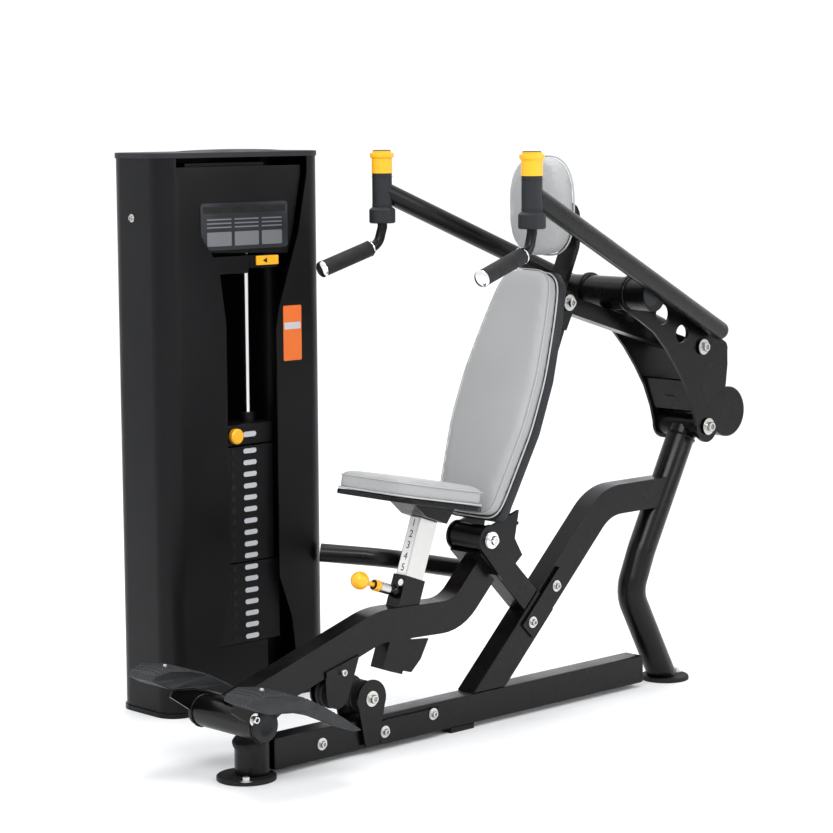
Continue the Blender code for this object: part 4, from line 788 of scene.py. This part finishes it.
seat_dip = math.radians(11)
seat_plan = rounded(seat_outline(), 2)
SEAT_THICK = 0.047
SEAT_HINGE = Matrix.Translation((0, -0.018, 0.563))
seat_place = SEAT_HINGE @ Matrix.Rotation(-seat_dip, 4, "X") @ Matrix.Translation((0, 0, 0.0123))
pad("seat_cushion", seat_plan, SEAT_THICK, 0.003, seat_place, "seat", "seat_pad")
welt("seat_cushion_welt", seat_plan * 0.992, 0.004, seat_place, "seat")
welt("seat_cushion_seam", seat_plan * 0.985, SEAT_THICK - 0.012, seat_place, "seat", 0.0013)


# %% Head pad
HEAD_THICK = 0.068
turn = np.linspace(0, math.tau, 120, endpoint=False)
power = 2 / 2.6
head_outline = np.column_stack([0.092 * np.sign(np.cos(turn)) * np.abs(np.cos(turn)) ** power,
                                0.126 * np.sign(np.sin(turn)) * np.abs(np.sin(turn)) ** power])
head_outline = rounded(head_outline, 2)
head_place = Matrix.Translation((0, 0.346, 1.294)) @ Matrix.Rotation(math.pi / 2, 4, "X")
pad("head_cushion", head_outline, HEAD_THICK, 0.010, head_place, "carriage", "head_pad", cap=0.005)
welt("head_cushion_welt", head_outline * 0.99, 0.006, head_place, "carriage")
welt("head_cushion_seam", head_outline * 0.972, HEAD_THICK - 0.022, head_place, "carriage", 0.0013)


# %% [markdown]
# ## Tower details
# Printing could be an image, but a thin raised piece needs no file, keeps its edge sharp at
# any distance and moves with its body.
#
# The header carries a blank placard in place of the maker's. The plates get pill labels, drawn as thin
# pieces, since they are printed on the real machine, and pin holes drawn as thin dark discs, which are
# painted shade in place of the moulded hole.

# %% Tower details
def panel(y0, y1, z0, z1, x, thickness, corner=0.006):
    """A thin rounded rectangle facing the front of the tower (+X): four quarter circles of points."""
    turn = np.linspace(0, math.pi / 2, 6)
    parts = []
    for y, z, q in ((y1 - corner, z1 - corner, 0), (y0 + corner, z1 - corner, 1),
                    (y0 + corner, z0 + corner, 2), (y1 - corner, z0 + corner, 3)):
        angle = turn + q * math.pi / 2
        parts.append(np.column_stack([np.full(6, x), y + corner * np.cos(angle), z + corner * np.sin(angle)]))
    return slab(np.vstack(parts), (1, 0, 0), thickness)


def one_panel(name, y0, y1, z0, z1, x, thickness, material, body, corner=0.006):
    return new_piece(name, [panel(y0, y1, z0, z1, x, thickness, corner)], material, body)


header_x = face_x("header_panel")
one_panel("placard", -0.320, -0.032, 1.186, 1.306, header_x + 0.0002, 0.0014, PLACARD, "frame", 0.010)
one_panel("placard_band", -0.312, -0.040, 1.280, 1.296, header_x + 0.0017, 0.0004, DARK_PRINT_AND_HOLE_SHADE, "frame", 0.004)
columns = [(-0.300, -0.220), (-0.210, -0.130), (-0.120, -0.052)]
lines = [panel(y0, y1, z, z + 0.0035, header_x + 0.0017, 0.0003, 0.0015)
         for y0, y1 in columns for z in (1.262, 1.252, 1.242)]
new_piece("placard_lines", lines, PRINT, "frame")
boxes = [panel(y0, y1, 1.196, 1.232, header_x + 0.0017, 0.0003, 0.003) for y0, y1 in columns]
new_piece("placard_boxes", boxes, PRINT, "frame")
stack_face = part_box("heavy_plates")[1].x
PITCH, PLATES, STACK_LOW = 0.0305, 17, 0.160
middles = [STACK_LOW + PITCH * (i + 0.5) - 0.0005 for i in range(PLATES)]
labels = [panel(-0.184, -0.140, z - 0.0065, z + 0.0065, stack_face + 0.0002, 0.0006, 0.0064)
          for z in middles]
new_piece("plate_labels", labels, LABEL, "frame")
# Each pin hole is a flat dark disc with a low rim: painted shade where the real plate has a hole.
rim = [(0.0075, 0), (0.0075, 0.0007), (0.0052, 0.0007), (0.0048, 0.0002), (0.001, 0.0002)]
painted_hole_shade = [lathe(rim, (stack_face + 0.0001, -0.218, z), (1, 0, 0), 20) for z in middles]
new_piece("pin_holes_painted_shade", painted_hole_shade, DARK_PRINT_AND_HOLE_SHADE, "frame")
top_face = face_x("top_plate")
one_panel("top_label", -0.184, -0.140, 0.699, 0.713, top_face + 0.0002, 0.0006, LABEL, "lifted_plate", 0.0069)
lever_x = face_x("addon_lever")
arrow = [(lever_x + 0.0002, y, z) for y, z in ((-0.126, 1.155), (-0.112, 1.1485), (-0.112, 1.1615))]
new_piece("lever_mark", [slab(arrow, (1, 0, 0), 0.0004)], DARK_PRINT_AND_HOLE_SHADE, "addon")
cap_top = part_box("tower_cap")[1].z
print("plates labelled:", PLATES)


# %% Lift cable
def lift_cable():
    """The cable above the stack, a fixed sweep along the CAD cable's height. On the machine it shortens
    towards its fixed end as the plates rise.
    """
    low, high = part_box("lift_cable")
    middle = (low + high) / 2
    z = np.linspace(low.z, high.z, 60)
    twist = 0.00012 * np.sin(np.arange(60) * 2.1)
    path = np.column_stack([np.full(60, middle.x) + twist, np.full(60, middle.y) - twist, z])
    cable = new_piece("lift_cable_jacket", [sweep(path, 0.0029, 12)], CABLE, "frame")
    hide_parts("lift_cable")
    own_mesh(cable)


lift_cable()


# %% Shroud trim
def cap_bump():
    """The low raised strip on top of the tower's cap: a rounded hump along Y."""
    y = np.linspace(-0.300, 0.000, 25)
    share = np.sin(np.linspace(0, math.pi, 25)) ** 0.4
    across = np.linspace(-1, 1, 13)
    x = -0.665 + 0.055 * across
    height = 0.0055 * share[:, None] * (1 - across[None] ** 4)
    x, y = np.broadcast_to(x, height.shape), np.broadcast_to(y[:, None], height.shape)
    grid = np.dstack([x, y, cap_top + 0.0002 + height])
    low = grid[:, ::-1].copy()
    low[..., 2] = cap_top + 0.0001
    return skin(np.concatenate([grid, low], axis=1)[::-1])


shroud_screws = [bolt((-0.690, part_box("front_shroud")[0].y, z), (0, -1, 0), 0.006) for z in (1.271, 0.100)]
new_piece("shroud_screws", shroud_screws, STEEL, "frame")
new_piece("cap_hump", [cap_bump()], GREY_PLASTIC, "frame")
one_panel("edge_sticker", -0.062, 0.000, 0.890, 1.034, face_x("rear_shroud") + 0.0002, 0.0005,
          ORANGE, "frame", 0.004)
one_panel("edge_sticker_band", -0.059, -0.003, 0.972, 0.990, face_x("rear_shroud") + 0.0008,
          0.0002, LABEL, "frame", 0.003)


# %% [markdown]
# ## Seat post scale and foot pads
# The scale is thinner than the gap between post and sleeve, so it slides in without a clash.
#
# The number strip is text turned into a mesh. The foot pads have moulded ridges that follow
# the heel's curve, so each ridge is a half bead along an arc.

# %% Seat post scale
SEAT_TILT = math.radians(20)
post_way = Vector((0, math.sin(SEAT_TILT), math.cos(SEAT_TILT)))
post_out = Vector((0, -math.cos(SEAT_TILT), math.sin(SEAT_TILT)))
post_base = Vector((0, -0.150, 0.404)) + post_out * 0.030


def on_strip(x, along, lift):
    return post_base + Vector((x, 0, 0)) + post_way * along + post_out * lift


corners = ((-0.014, 0.004), (0.014, 0.004), (0.014, 0.144), (-0.014, 0.144))
strip = [on_strip(x, along, 0.00005) for x, along in corners]
new_piece("seat_scale", [slab(strip, post_out, 0.0001)], WHITE, "seat")


def number(text, at, size=0.026):
    """A digit as a flat mesh, standing on the post's front face and centred on a point."""
    curve = bpy.data.curves.new("digit_" + text, "FONT")
    curve.body = text
    curve.size = size
    curve.align_x = "CENTER"
    curve.align_y = "CENTER"
    curve.resolution_u = 4
    holder = bpy.data.objects.new("digit_" + text, curve)
    bpy.context.scene.collection.objects.link(holder)
    mesh = bpy.data.meshes.new_from_object(holder.evaluated_get(bpy.context.evaluated_depsgraph_get()))
    bpy.data.objects.remove(holder)
    right, up = Vector((1, 0, 0)), post_way
    basis = Matrix((right, up, post_out)).transposed().to_4x4()
    mesh.transform(Matrix.Translation(at) @ basis)
    mesh.materials.clear()
    mesh.materials.append(DARK_PRINT_AND_HOLE_SHADE)
    obj = bpy.data.objects.new("scale_digit_" + text, mesh)
    bpy.context.scene.collection.objects.link(obj)
    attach(obj, "seat")


for count in range(5):
    number(str(count + 1), on_strip(0, 0.130 - 0.028 * count, 0.00025))


# %% Seat pin sleeve and mark
pin_centre = Vector((0, -0.150, 0.404)) - post_way * 0.043
steel = [(0.0122, 0.062), (0.0135, 0.062), (0.0135, 0.094), (0.0122, 0.094)]
ribs = [(0.0123, 0.0945), (0.0142, 0.096), (0.0142, 0.101), (0.0130, 0.1025)]
ribs += [(0.0142, 0.104), (0.0142, 0.109), (0.0123, 0.1105)]
new_piece("seat_pin_sleeve", [lathe(steel, pin_centre, post_out, 32)], STEEL, "carriage")
new_piece("seat_pin_collar", [lathe(ribs, pin_centre, post_out, 32)], YELLOW, "carriage")
dot = [(0.0085, 0), (0.0085, 0.0005), (0.001, 0.0005)]
sleeve_front = 0.030 + 0.0005 + 0.003 + 0.0002
dot_at = pin_centre + post_way * 0.024 + post_out * sleeve_front + Vector((0.0095, 0, 0))
new_piece("sleeve_mark", [lathe(dot, dot_at, post_out, 28)], WHITE, "carriage")


# %% Foot pad ridges
TREAD_Y = np.array([-0.845, -0.835, -0.793, -0.735, -0.680, -0.620, -0.555, -0.497])
TREAD_Z = np.array([0.236, 0.2475, 0.255, 0.246, 0.227, 0.196, 0.158, 0.120])


def ridge(sign, y0):
    """A bead across the pad at y0, bowed towards the heel: y = y0 + 0.010 (1 - u^2), u from -1 to 1."""
    u = np.linspace(-1, 1, 21)
    y = y0 + 0.010 * (1 - u ** 2)
    heel = np.clip((y + 0.72) / 0.22, 0, 1)
    toe = np.clip((-0.80 - y) / 0.045, 0, 1)
    half = 0.052 * (1 - 0.45 * heel - 0.22 * toe)
    x = sign * 0.1752 + u * half
    z = np.interp(y, TREAD_Y, TREAD_Z) + 0.0002
    return sweep(np.column_stack([x, y, z]), 0.0013, 6)


for ending, sign in (("left", 1), ("right", -1)):
    rows = [ridge(sign, y0) for y0 in np.arange(-0.825, -0.56, 0.0125)]
    new_piece("foot_pad_ridges_" + ending, rows, FOOT_RUBBER, "carriage")
    slope = math.atan2(0.009, 0.058)
    screw = bolt((sign * 0.175, -0.770, 0.2518), (0, math.sin(slope), math.cos(slope)), 0.0045)
    new_piece("foot_pad_screw_" + ending, [screw], STEEL, "carriage")
